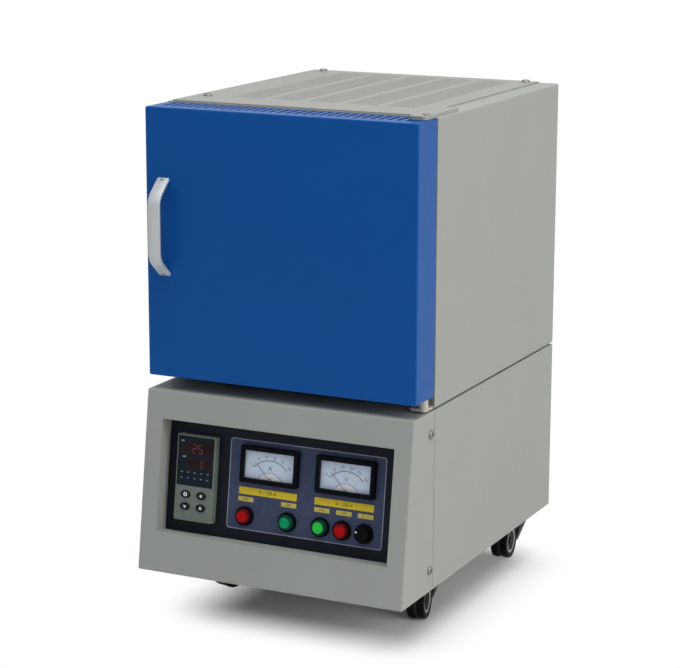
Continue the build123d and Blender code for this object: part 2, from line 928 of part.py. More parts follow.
castor_front_place = (half - castor_front_inset, front + castor_front)
castor_rear_place = (half - castor_rear_inset, rear - castor_rear)
castor_places = [(side * x, y) for side in (-1, 1) for x, y in (castor_front_place, castor_rear_place)]
stud_spacing = castor_plate - 2 * stud_inset
with BuildPart() as cabinet_casing:
    with BuildSketch(at_y(rear)):
        with Locations((0, cabinet_mid)):
            RectangleRounded(width, cabinet_height, edge_radius)
            RectangleRounded(width - 2 * sheet, cabinet_height - 2 * sheet, edge_radius - sheet, mode=Mode.SUBTRACT)
    extrude(amount=housing_depth)
    with BuildSketch(at_y(inside_rear)):
        with Locations((0, cabinet_mid)):
            Rectangle(width - 2 * sheet, cabinet_height - 2 * sheet)
            Rectangle(
                width - 2 * sheet - 2 * rim_width,
                cabinet_height - 2 * sheet - 2 * rim_width,
                mode=Mode.SUBTRACT,
            )
    extrude(amount=sheet)
    # Tabs reach forward inside the cheeks of the front shell and take its screws
    for side in (-1, 1):
        block(
            min(side * inner_half, side * (inner_half - sheet)),
            max(side * inner_half, side * (inner_half - sheet)),
            front - 2 * side_screw_forward + sheet,
            front + rim_width,
            cabinet_base + 2 * edge_radius,
            cabinet_top - 2 * edge_radius,
        )
    drill(side_screws, screw_radius, screw_length)
    drill(cabinet_rear_screws, screw_radius, screw_length)
    for x, y in castor_places:
        with Locations((x, y, cabinet_base)):
            with GridLocations(stud_spacing, stud_spacing, 2, 2):
                Cylinder(stud_radius + notch_gap, 4 * sheet, mode=Mode.SUBTRACT)
keep(cabinet_casing, "cabinet_casing")


def wedge_outline(shrink):
    # Side profile of the front shell: upright at the back, sloped at the front
    lean = slope_run / cabinet_height
    thin = shrink / cos(radians(slope_tilt))
    return [
        (front, cabinet_base + shrink),
        (front - front_toe + lean * shrink + thin, cabinet_base + shrink),
        (front - front_brow - lean * shrink + thin, cabinet_top - shrink),
        (front, cabinet_top - shrink),
    ]


with BuildPart() as cabinet_front:
    with BuildSketch(at_x(-half)):
        Polygon(*wedge_outline(0), align=None)
    extrude(amount=width)
    slope_edges = cabinet_front.faces().sort_by(Axis(slope_plane.origin, slope_plane.z_dir))[-1].edges()
    fillet(slope_edges + cabinet_front.edges().filter_by(Axis.Y), edge_radius)
    with BuildSketch(at_x(-inner_half)):
        Polygon(*wedge_outline(sheet), align=None)
    extrude(amount=2 * inner_half, mode=Mode.SUBTRACT)
    # The window and its four return walls
    with BuildSketch(slope_plane):
        with Locations((0, window_mid)):
            Rectangle(window_width + 2 * sheet, window_height + 2 * sheet)
    extrude(amount=-recess)
    with BuildSketch(slope_plane.offset(sheet)):
        with Locations((0, window_mid)):
            Rectangle(window_width, window_height)
    extrude(amount=-recess - 2 * sheet, mode=Mode.SUBTRACT)
    drill(side_screws, screw_hole, screw_length)
keep(cabinet_front, "cabinet_front")

fan_x = -half + fan_inset
fan_z = cabinet_base + fan_rise
fan_bore = fan_side / 2 - fan_wall
breaker_x = half - breaker_inset
breaker_z = cabinet_base + breaker_rise
gland_x = half - gland_inset
gland_z = cabinet_base + gland_rise
with BuildPart() as cabinet_rear_panel:
    with BuildSketch(at_y(rear)):
        with Locations((0, cabinet_mid)):
            RectangleRounded(
                width - 2 * sheet - 2 * panel_gap,
                cabinet_height - 2 * sheet - 2 * panel_gap,
                edge_radius,
            )
        # Grille slots fill out the round opening of the fan
        grille_radius = fan_bore - slot_width / 2
        grille_rows = int(grille_radius // grille_pitch)
        for row in range(-grille_rows, grille_rows + 1):
            with Locations((fan_x, fan_z + row * grille_pitch)):
                SlotOverall(2 * sqrt(grille_radius**2 - (row * grille_pitch) ** 2), slot_width, mode=Mode.SUBTRACT)
        with Locations((breaker_x, breaker_z)):
            Rectangle(breaker_width + 2 * panel_gap, breaker_face + 2 * panel_gap, mode=Mode.SUBTRACT)
        with Locations((gland_x, gland_z)):
            Circle(gland_body, mode=Mode.SUBTRACT)
    extrude(amount=sheet)
    drill(cabinet_rear_screws, screw_hole, screw_length)
keep(cabinet_rear_panel, "cabinet_rear_panel")

with BuildPart() as casing_screws:
    for place, outward in domed_screws:
        seat = Plane(origin=place, z_dir=outward)
        with Locations(seat.offset(dome_height / 2)):
            Cylinder(dome_head, dome_height)
        with Locations(seat.offset(-screw_length / 2)):
            Cylinder(screw_radius, screw_length)
        # Cross recess in the head
        with Locations(seat.offset(dome_height)):
            Box(dome_head, cross_width, dome_height, mode=Mode.SUBTRACT)
            Box(cross_width, dome_head, dome_height, mode=Mode.SUBTRACT)
    # The face plate's screws are countersunk, so that the door swings past them
    flush_cones(face_screws, Mode.ADD)
    for place, outward in face_screws:
        seat = Plane(origin=place, z_dir=outward)
        with Locations(seat.offset(-screw_length / 2)):
            Cylinder(screw_radius, screw_length)
        with Locations(seat):
            Box(screw_head, cross_width, 2 * flush_cross, mode=Mode.SUBTRACT)
            Box(cross_width, screw_head, 2 * flush_cross, mode=Mode.SUBTRACT)
keep(casing_screws, "casing_screws")


# Control panel and what is fitted in it

meter_places = [(overlay_left + offset, -meter_level) for offset in meter_offsets]
button_places = [(overlay_left + offset, -button_level) for offset in button_offsets]
button_row = button_places + [(selector_x, -button_level)]


def panel_holes():
    # Holes for the barrels of the meters, buttons and selector
    with Locations(*meter_places):
        Circle(meter_barrel + panel_gap, mode=Mode.SUBTRACT)
    with Locations(*button_row):
        Circle(barrel_radius + barrel_gap, mode=Mode.SUBTRACT)


with BuildPart() as control_panel:
    with BuildSketch(panel_plane):
        with Locations((0, window_mid)):
            Rectangle(window_width + 2 * panel_lap, window_height + 2 * panel_lap)
        with Locations((controller_x, controller_mid)):
            Rectangle(
                controller_width - controller_shrink + 2 * panel_gap,
                controller_height - controller_shrink + 2 * panel_gap,
                mode=Mode.SUBTRACT,
            )
        panel_holes()
    extrude(amount=-panel_sheet)
keep(control_panel, "control_panel")

with BuildPart() as panel_overlay:
    with BuildSketch(panel_plane):
        with Locations((overlay_left + overlay_width / 2, -(overlay_top + overlay_height / 2))):
            RectangleRounded(overlay_width, overlay_height, overlay_corner)
        panel_holes()
    extrude(amount=overlay_thick)
keep(panel_overlay, "panel_overlay")

display_place = (controller_x, -(controller_top + display_margin + display_height / 2))
display_width = controller_width - 2 * display_side
key_top = controller_top + display_margin + display_height + key_first
key_places = [
    (controller_x + column, -level) for level in (key_top, key_top + key_row_pitch) for column in key_columns
]
with BuildPart() as controller_case:
    with BuildSketch(panel_plane):
        with Locations((controller_x, controller_mid)):
            RectangleRounded(controller_width, controller_height, controller_corner)
    extrude(amount=controller_proud)
    chamfer(controller_case.faces().sort_by(outward_axis)[-1].edges(), controller_chamfer)
    with BuildSketch(panel_plane):
        with Locations((controller_x, controller_mid)):
            Rectangle(controller_width - controller_shrink, controller_height - controller_shrink)
    extrude(amount=-controller_body)
    with BuildSketch(controller_face):
        with Locations(display_place):
            Rectangle(display_width, display_height)
    extrude(amount=-display_thick - display_sunk, mode=Mode.SUBTRACT)
    with BuildSketch(controller_face):
        with Locations(*key_places):
            Ellipse(key_width / 2 + key_gap, key_height / 2 + key_gap)
    extrude(amount=-key_depth, mode=Mode.SUBTRACT)
keep(controller_case, "controller_case")

with BuildPart() as controller_display:
    with BuildSketch(controller_face.offset(-display_thick - display_sunk)):
        with Locations(display_place):
            Rectangle(display_width, display_height)
    extrude(amount=display_thick)
keep(controller_display, "controller_display")

for number, place in enumerate(key_places, start=1):
    with BuildPart() as controller_key:
        with BuildSketch(controller_face.offset(key_proud)):
            with Locations(place):
                Ellipse(key_width / 2, key_height / 2)
        extrude(amount=-(key_proud + key_depth - key_travel - key_air))
        fillet(controller_key.faces().sort_by(outward_axis)[-1].edges(), key_round)
    keep(controller_key, f"controller_key_{number}")

pivot_places = [(x, y - meter_window_height / 2) for x, y in meter_places]
dial_plane = overlay_plane.offset(meter_floor)
needle_plane = dial_plane.offset(dial_thick + needle_air)
glass_plane = needle_plane.offset(needle_thick + needle_air)
with BuildPart() as meter_cases:
    with BuildSketch(overlay_plane):
        with Locations(*meter_places):
            RectangleRounded(meter_width, meter_height, meter_corner)
    extrude(amount=meter_proud)
    rims = meter_cases.faces().group_by(outward_axis)[-1]
    chamfer(rims.edges(), meter_chamfer)
    with BuildSketch(overlay_plane):
        with Locations(*meter_places):
            Circle(meter_barrel)
    extrude(amount=-meter_barrel_depth)
    with BuildSketch(dial_plane):
        with Locations(*meter_places):
            Rectangle(meter_window_width, meter_window_height)
    extrude(amount=meter_proud, mode=Mode.SUBTRACT)
    # The needle's pin sits at the foot of the window, under the lower rim
    with BuildSketch(dial_plane.offset(dial_thick)):
        with Locations(*pivot_places):
            Circle(needle_hub + panel_gap)
    extrude(amount=2 * needle_air + needle_thick, mode=Mode.SUBTRACT)
    with BuildSketch(dial_plane.offset(dial_thick)):
        with Locations(*pivot_places):
            Circle(needle_pin + pin_running)
    extrude(amount=-(dial_thick + needle_pin_reach + needle_pin_air), mode=Mode.SUBTRACT)
keep(meter_cases, "meter_cases")

with BuildPart() as meter_dials:
    with BuildSketch(dial_plane):
        with Locations(*meter_places):
            Rectangle(meter_window_width, meter_window_height)
        with Locations(*pivot_places):
            Circle(needle_hub, mode=Mode.SUBTRACT)
    extrude(amount=dial_thick)
keep(meter_dials, "meter_dials")

with BuildPart() as meter_windows:
    with BuildSketch(glass_plane):
        with Locations(*meter_places):
            Rectangle(meter_window_width, meter_window_height)
    extrude(amount=glass_thick)
keep(meter_windows, "meter_windows")

for meter, place in zip(("ammeter", "voltmeter"), pivot_places):
    with BuildPart() as meter_needle:
        with BuildSketch(needle_plane):
            with Locations(Location((place[0], place[1]), 90 + needle_rest)):
                with Locations((needle_length / 2, 0)):
                    Rectangle(needle_length, needle_width)
            with Locations(place):
                Circle(needle_hub)
        extrude(amount=needle_thick)
        with BuildSketch(needle_plane):
            with Locations(place):
                Circle(needle_pin)
        extrude(amount=-(needle_air + dial_thick + needle_pin_reach))
    keep(meter_needle, f"{meter}_needle")

with BuildPart() as button_bezels:
    with BuildSketch(overlay_plane):
        with Locations(*button_row):
            Circle(bezel_radius)
    extrude(amount=bezel_height)
    crowns = button_bezels.faces().group_by(outward_axis)[-1]
    fillet(crowns.edges(), bezel_round)
    with BuildSketch(overlay_plane):
        with Locations(*button_row):
            Circle(barrel_radius)
    extrude(amount=-barrel_depth)
    with BuildSketch(overlay_plane.offset(bezel_floor)):
        with Locations(*button_row):
            Circle(cap_radius + cap_gap)
    extrude(amount=bezel_height, mode=Mode.SUBTRACT)
    with BuildSketch(overlay_plane.offset(bezel_floor)):
        with Locations(*button_row):
            Circle(stem_radius + pin_running)
    extrude(amount=-2 * barrel_depth, mode=Mode.SUBTRACT)
keep(button_bezels, "button_bezels")


def push_cap(place, height, crown):
    # A round cap that stands in its bezel, on a stem that runs in the barrel
    with BuildPart() as cap:
        with BuildSketch(overlay_plane.offset(cap_rest)):
            with Locations(place):
                Circle(cap_radius)
        extrude(amount=height)
        fillet(cap.faces().sort_by(outward_axis)[-1].edges(), crown)
        with BuildSketch(overlay_plane.offset(cap_rest)):
            with Locations(place):
                Circle(stem_radius)
        extrude(amount=-(cap_rest + barrel_depth - button_travel - stem_air))
    return cap


for name, place in zip(button_names, button_places):
    keep(push_cap(place, cap_height, cap_round), name)

with BuildPart() as selector_knob:
    add(push_cap((selector_x, -button_level), knob_height, knob_round).part)
    # Round pointer mark in the crown, near its rim
    pointer_orbit = cap_radius - pointer_inset
    pointer_across = pointer_orbit * cos(radians(pointer_turn))
    pointer_up = pointer_orbit * sin(radians(pointer_turn))
    with BuildSketch(overlay_plane.offset(cap_rest + knob_height)):
        with Locations((selector_x + pointer_across, pointer_up - button_level)):
            Circle(pointer_radius)
    extrude(amount=-pointer_depth, mode=Mode.SUBTRACT)
keep(selector_knob, "selector_knob")


# Inside the cabinet and on its rear panel

with BuildPart() as fan_frame:
    with BuildSketch(at_y(inside_rear)):
        with Locations((fan_x, fan_z)):
            RectangleRounded(fan_side, fan_side, fan_corner)
            Circle(fan_bore, mode=Mode.SUBTRACT)
    extrude(amount=fan_thick)
    # Four spokes carry the motor boss on the inner side
    with BuildSketch(at_y(inside_rear - fan_thick + spoke_thick)):
        with Locations((fan_x, fan_z)):
            Circle(fan_hub)
            Rectangle(2 * fan_bore + fan_wall, spoke_width)
            Rectangle(spoke_width, 2 * fan_bore + fan_wall)
            Circle(fan_shaft + pin_running, mode=Mode.SUBTRACT)
    extrude(amount=spoke_thick)
keep(fan_frame, "fan_frame")

with BuildPart() as fan_rotor:
    rotor_front = inside_rear - fan_thick + spoke_thick + rotor_air
    with BuildSketch(at_y(rotor_front + rotor_length)):
        with Locations((fan_x, fan_z)):
            Circle(fan_hub)
    extrude(amount=rotor_length)
    with BuildSketch(at_y(rotor_front)):
        with Locations((fan_x, fan_z)):
            Circle(fan_shaft)
    extrude(amount=spoke_thick)
    root_radius = fan_hub - blade_root
    for turn in range(blade_count):
        angle = radians(360 * turn / blade_count)
        root = Plane(
            origin=(
                fan_x + root_radius * cos(angle),
                rotor_front + rotor_length / 2,
                fan_z + root_radius * sin(angle),
            ),
            x_dir=(-sin(angle), blade_lean, cos(angle)),
            z_dir=(cos(angle), 0, sin(angle)),
        )
        with BuildSketch(root):
            Rectangle(blade_chord, blade_thick)
        extrude(amount=fan_bore - blade_tip_gap - root_radius)
keep(fan_rotor, "fan_rotor")

toggle_y = rear + breaker_proud - toggle_sunk
with BuildPart() as breaker:
    block(
        breaker_x - breaker_width / 2,
        breaker_x + breaker_width / 2,
        inside_rear - breaker_depth,
        inside_rear,
        breaker_z - breaker_height / 2,
        breaker_z + breaker_height / 2,
    )
    block(
        breaker_x - breaker_width / 2,
        breaker_x + breaker_width / 2,
        inside_rear,
        rear + breaker_proud,
        breaker_z - breaker_face / 2,
        breaker_z + breaker_face / 2,
    )
    fillet(breaker.faces().sort_by(Axis.Y)[-1].edges(), breaker_round)
    # Trough for the toggle
    with Locations(Plane(origin=(breaker_x, toggle_y, breaker_z), z_dir=(1, 0, 0))):
        Cylinder(toggle_radius + panel_gap, toggle_width + 2 * panel_gap, mode=Mode.SUBTRACT)
keep(breaker, "breaker")

with BuildPart() as breaker_toggle:
    with BuildSketch(at_x(breaker_x - toggle_width / 2)):
        with Locations((toggle_y, breaker_z)):
            Circle(toggle_radius)
        with Locations(Location((toggle_y, breaker_z), toggle_tilt)):
            with Locations(((toggle_radius + toggle_lever) / 2, 0)):
                Rectangle(toggle_radius + toggle_lever, toggle_thick)
    extrude(amount=toggle_width)
    fillet(breaker_toggle.edges().filter_by(Axis.X).group_by(Axis.Y)[-1], toggle_round)
keep(breaker_toggle, "breaker_toggle")

with BuildPart() as cable_gland:
    with BuildSketch(at_y(rear + rear_reach)):
        with Locations((gland_x, gland_z)):
            Circle(gland_body)
    extrude(amount=rear_reach + sheet + gland_nut_thick)
    # Lock nuts on both sides of the panel, and the clamping cap near the outer end
    nut_spans = (
        (rear + gland_nut_thick, gland_nut_thick),
        (inside_rear, gland_nut_thick),
        (rear + rear_reach - gland_tip, gland_cap_length),
    )
    for nut_y, length in nut_spans:
        with BuildSketch(at_y(nut_y)):
            with Locations((gland_x, gland_z)):
                RegularPolygon(gland_body + gland_nut_step, 6)
        extrude(amount=length)
    fillet(cable_gland.faces().sort_by(Axis.Y)[-1].edges(), gland_round)
    with BuildSketch(at_y(rear + 2 * rear_reach)):
        with Locations((gland_x, gland_z)):
            Circle(gland_body - gland_wall)
    extrude(amount=4 * rear_reach, mode=Mode.SUBTRACT)
keep(cable_gland, "cable_gland")

module_y = front + core_setback
with BuildPart() as transformer:
    # Laminated core with three legs, its sizes whole multiples of the outer leg, and a coil round the middle one
    with BuildSketch(at_y(module_y + core_depth / 2)):
        with Locations((0, cabinet_floor + 2.5 * core_leg)):
            Rectangle(6 * core_leg, 5 * core_leg)
            with GridLocations(3 * core_leg, 1, 2, 1):
                Rectangle(core_leg, 3 * core_leg, mode=Mode.SUBTRACT)
    extrude(amount=core_depth)
    with BuildSketch(at_y(module_y + core_depth / 2 + coil_proud)):
        with Locations((0, cabinet_floor + 2.5 * core_leg)):
            RectangleRounded(4 * core_leg - 2 * coil_gap, 3 * core_leg - 2 * coil_gap, coil_corner)
    extrude(amount=core_depth + 2 * coil_proud)
keep(transformer, "transformer")

heatsink_x = -inner_half + heatsink_inset
with BuildPart() as power_regulator:
    # A finned heat sink with the switching module on top
    sink_top = cabinet_floor + heatsink_height
    fin_height = heatsink_height - heatsink_base
    with Locations((heatsink_x, module_y, sink_top - heatsink_base / 2)):
        Box(heatsink_width, heatsink_length, heatsink_base)
    fin_pitch = (heatsink_length - fin_thick) / (fin_count - 1)
    with Locations((heatsink_x, module_y, cabinet_floor + fin_height / 2)):
        with GridLocations(1, fin_pitch, 1, fin_count):
            Box(heatsink_width, fin_thick, fin_height)
    with Locations((heatsink_x, module_y, sink_top + module_height / 2)):
        Box(heatsink_width - 2 * module_side, heatsink_length - 2 * module_margin, module_height)
keep(power_regulator, "power_regulator")


# Castors: a fixed plate with its king pin, a swivelling hood with a web, and a pair of wheels

plate_low = cabinet_base - castor_plate_thick
raceway_low = plate_low - raceway_height
hood_top = raceway_low - hood_gap
hood_low = hood_top - hood_height
king_low = hood_low + king_short
with BuildPart() as castor_plates:
    for x, y in castor_places:
        with Locations((x, y, (plate_low + cabinet_base) / 2)):
            Box(castor_plate, castor_plate, castor_plate_thick)
        with Locations((x, y, (raceway_low + plate_low) / 2)):
            Cylinder(raceway_radius, raceway_height)
        with Locations((x, y, (king_low + raceway_low) / 2)):
            Cylinder(king_radius, raceway_low - king_low)
        with Locations((x, y, cabinet_floor)):
            with GridLocations(stud_spacing, stud_spacing, 2, 2):
                Cylinder(stud_radius, 2 * (sheet + stud_reach))
keep(castor_plates, "castor_plates")


def castor_frame(x, y, heading):
    # Upright plane through the pivot, along the way the wheels trail
    angle = radians(heading)
    return Plane(origin=(x, y, 0), x_dir=(cos(angle), sin(angle), 0), z_dir=(sin(angle), -cos(angle), 0))


castor_headings = {
    "front_left": (-1, castor_front_place, 255),
    "rear_left": (-1, castor_rear_place, 273),
    "front_right": (1, castor_front_place, 280),
    "rear_right": (1, castor_rear_place, 274),
}
hub = (trail, wheel_radius)
guard_inner = wheel_radius + guard_gap
groove = web_thick / 2 + wheel_side_gap
for corner, (side, place, heading) in castor_headings.items():
    pivot = (side * place[0], place[1])
    upright = castor_frame(pivot[0], pivot[1], heading)
    with BuildPart() as castor_hood:
        with BuildSketch(upright):
            with Locations(hub):
                Circle(guard_inner + guard_thick)
            # The guard fills out to the middle of the pivot body
            Polygon((0, hood_top), (0, guard_low), (trail, guard_low), (trail, hood_top), align=None)
            with Locations((trail + guard_lip + 2 * wheel_radius, wheel_radius)):
                Rectangle(4 * wheel_radius, 4 * wheel_radius, mode=Mode.SUBTRACT)
            Rectangle(6 * wheel_radius, 2 * guard_low, mode=Mode.SUBTRACT)
            with Locations((0, hood_top + wheel_radius)):
                Rectangle(6 * wheel_radius, 2 * wheel_radius, mode=Mode.SUBTRACT)
        extrude(amount=guard_width / 2, both=True)
        # A neck below the pivot body narrows towards the floor, and the wheels' room is cut from it
        with Locations((pivot[0], pivot[1], (neck_low + hood_low) / 2)):
            Cone(neck_foot, hood_radius, hood_low - neck_low)
        with BuildSketch(upright):
            with Locations(hub):
                Circle(guard_inner)
        extrude(amount=hood_radius, both=True, mode=Mode.SUBTRACT)
        with BuildSketch(upright):
            with Locations(hub):
                Circle(wheel_radius - web_short)
            with Locations((trail, (wheel_radius + hood_low) / 2)):
                Rectangle(wheel_radius - web_short, hood_low - wheel_radius + 2 * guard_gap)
            with Locations(hub):
                Circle(axle_radius + pin_running, mode=Mode.SUBTRACT)
        extrude(amount=web_thick / 2, both=True)
        with Locations((pivot[0], pivot[1], (hood_low + hood_top) / 2)):
            Cylinder(hood_radius, hood_height)
        # Blind bore for the king pin, with room above its end
        with Locations((pivot[0], pivot[1], hood_top)):
            Cylinder(king_radius + pin_running, 2 * (hood_height - king_short / 2), mode=Mode.SUBTRACT)
    keep(castor_hood, f"castor_hood_{corner}")
    with BuildPart() as castor_wheels:
        with BuildSketch(upright):
            with Locations(hub):
                Circle(wheel_radius)
        extrude(amount=groove + wheel_width, both=True)
        chamfer(castor_wheels.edges().filter_by(GeomType.CIRCLE), wheel_chamfer)
        with BuildSketch(upright):
            with Locations(hub):
                Circle(2 * wheel_radius)
                Circle(axle_radius, mode=Mode.SUBTRACT)
        extrude(amount=groove, both=True, mode=Mode.SUBTRACT)
    keep(castor_wheels, f"castor_wheels_{corner}")
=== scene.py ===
import json
import math

import bpy
from mathutils import Matrix, Vector


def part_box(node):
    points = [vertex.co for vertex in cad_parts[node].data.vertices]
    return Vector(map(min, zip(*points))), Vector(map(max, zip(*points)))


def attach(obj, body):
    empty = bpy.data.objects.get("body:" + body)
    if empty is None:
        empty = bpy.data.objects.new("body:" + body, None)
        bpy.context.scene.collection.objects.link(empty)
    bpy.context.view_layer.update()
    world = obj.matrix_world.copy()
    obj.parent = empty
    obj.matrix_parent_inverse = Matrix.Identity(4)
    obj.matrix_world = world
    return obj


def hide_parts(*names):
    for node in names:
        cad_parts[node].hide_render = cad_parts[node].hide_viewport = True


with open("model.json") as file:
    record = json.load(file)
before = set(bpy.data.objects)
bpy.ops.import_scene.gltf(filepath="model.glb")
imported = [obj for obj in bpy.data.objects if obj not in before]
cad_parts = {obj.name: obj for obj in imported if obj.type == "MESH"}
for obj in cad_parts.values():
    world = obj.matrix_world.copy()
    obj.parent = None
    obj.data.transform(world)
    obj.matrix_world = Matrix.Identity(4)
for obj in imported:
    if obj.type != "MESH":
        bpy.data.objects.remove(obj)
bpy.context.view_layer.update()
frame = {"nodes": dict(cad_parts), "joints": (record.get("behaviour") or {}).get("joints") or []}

mm = 0.001


def nodeLow(node):
    return Vector(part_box(node)[0])


def nodeHigh(node):
    return Vector(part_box(node)[1])


# Planes of the housings, read from the frame
bodyFront = nodeLow("upper_casing").y
bodyBack = nodeHigh("upper_casing").y
bodyBase = nodeLow("lower_hinge_bracket").z
bodyTop = nodeLow("top_cover").z
cabinetBase = nodeLow("cabinet_casing").z
cabinetTop = nodeHigh("cabinet_casing").z
doorFace = nodeLow("door_shell").y
sideX = nodeHigh("upper_casing").x

# The sloped front, by how far its top and bottom edges stand out, and the sunk panel behind it
slope = dict(brow=52.2 * mm, toe=80.5 * mm, recess=20.5 * mm, film=0.8 * mm)
slope["lean"] = math.atan2(slope["toe"] - slope["brow"], cabinetTop - cabinetBase)
slopeUpright = Matrix.Rotation(math.pi / 2 - slope["lean"], 4, "X")
slopeOrigin = Vector((0, bodyFront - slope["brow"], cabinetTop))


def onPanel(across, down, lift=0.0, turn=0.0):
    # A place on the panel film: distance across, distance down the slope, height above the film
    level = lift + slope["film"] - slope["recess"]
    return (
        Matrix.Translation(slopeOrigin)
        @ slopeUpright
        @ Matrix.Translation((across, -down, level))
        @ Matrix.Rotation(turn, 4, "Z")
    )


# Selecting and shaping

def deselectAll():
    if bpy.context.object and bpy.context.object.mode != "OBJECT":
        bpy.ops.object.mode_set(mode="OBJECT")
    bpy.ops.object.select_all(action="DESELECT")


def only(piece):
    deselectAll()
    piece.select_set(True)
    bpy.context.view_layer.objects.active = piece


def named(name):
    piece = bpy.context.object
    piece.name = name
    piece.data.name = name
    return piece


def settle(piece, matrix=None):
    # Moves a piece and puts its place into its mesh
    only(piece)
    if matrix is not None:
        piece.matrix_world = matrix @ piece.matrix_world
    bpy.ops.object.transform_apply(location=True, rotation=True, scale=True)
    return piece


def pickFaces(piece, test):
    # Selects the faces for which test(centre, normal) holds, and goes into edit mode
    only(piece)
    bpy.ops.object.mode_set(mode="EDIT")
    bpy.ops.mesh.select_mode(type="FACE")
    bpy.ops.mesh.select_all(action="DESELECT")
    bpy.ops.object.mode_set(mode="OBJECT")
    for face in piece.data.polygons:
        face.select = test(face.center, face.normal)
    bpy.ops.object.mode_set(mode="EDIT")


def pickVerts(piece, test):
    only(piece)
    bpy.ops.object.mode_set(mode="EDIT")
    bpy.ops.mesh.select_mode(type="VERT")
    bpy.ops.mesh.select_all(action="DESELECT")
    bpy.ops.object.mode_set(mode="OBJECT")
    for vert in piece.data.vertices:
        vert.select = test(vert.co)
    bpy.ops.object.mode_set(mode="EDIT")


def leaveEdit():
    bpy.ops.object.mode_set(mode="OBJECT")


def applyAll(piece):
    only(piece)
    for modifier in list(piece.modifiers):
        bpy.ops.object.modifier_apply(modifier=modifier.name)


def roundEdges(piece, width, segments=3, angle=35):
    modifier = piece.modifiers.new("rounding", "BEVEL")
    modifier.width = width
    modifier.segments = segments
    modifier.limit_method = "ANGLE"
    modifier.angle_limit = math.radians(angle)
    applyAll(piece)
    return piece


def thicken(piece, thickness, offset=1.0):
    modifier = piece.modifiers.new("wall", "SOLIDIFY")
    modifier.thickness = thickness
    modifier.offset = offset
    applyAll(piece)
    return piece


def block(name, size, centre=(0, 0, 0), rounding=0.0, segments=2):
    deselectAll()
    bpy.ops.mesh.primitive_cube_add(size=1, location=centre, scale=size)
    piece = settle(named(name))
    if rounding:
        roundEdges(piece, rounding, segments)
    return piece


def drum(name, radius, depth, base=0.0, sides=48):
    # A round body that stands on its base along +Z
    deselectAll()
    bpy.ops.mesh.primitive_cylinder_add(
        vertices=sides, radius=radius, depth=depth, location=(0, 0, base + depth / 2)
    )
    return settle(named(name))


def pierce(piece, wall):
    # Opens a flat-ended round body from end to end, and leaves a wall of this width
    pickFaces(piece, lambda centre, normal: abs(normal.z) > 0.999)
    bpy.ops.mesh.inset(thickness=wall)
    bpy.ops.mesh.bridge_edge_loops()
    leaveEdit()


def join(pieces, name):
    deselectAll()
    for piece in pieces:
        piece.select_set(True)
    bpy.context.view_layer.objects.active = pieces[0]
    bpy.ops.object.join()
    return named(name)


def copied(piece, matrix):
    twin = piece.copy()
    twin.data = piece.data.copy()
    bpy.context.collection.objects.link(twin)
    return settle(twin, matrix)


def remove(piece):
    bpy.data.objects.remove(piece, do_unlink=True)


def dressed(piece, body, finish, replaced=(), smooth=40):
    only(piece)
    if smooth:
        bpy.ops.object.shade_smooth_by_angle(angle=math.radians(smooth))
    piece.data.materials.clear()
    piece.data.materials.append(finish)
    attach(piece, body)
    if replaced:
        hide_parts(*replaced)
    return piece


letteringThick = 0.05 * mm


def words(name, text, size, matrix):
    # Flat lettering, made a mesh before its place is applied
    deselectAll()
    bpy.ops.object.text_add()
    letters = bpy.context.object
    letters.data.body = text
    letters.data.size = size
    letters.data.align_x = "CENTER"
    letters.data.align_y = "CENTER"
    letters.data.extrude = letteringThick / 2
    letters.data.resolution_u = 3
    bpy.ops.object.convert(target="MESH")
    return settle(named(name), matrix)


# Finishes

def screenColour(red, green, blue):
    # A screen colour, 0 to 255, as the linear colour that the shader takes
    def linear(value):
        value /= 255
        return value / 12.92 if value <= 0.04045 else ((value + 0.055) / 1.055) ** 2.4

    return (linear(red), linear(green), linear(blue), 1)


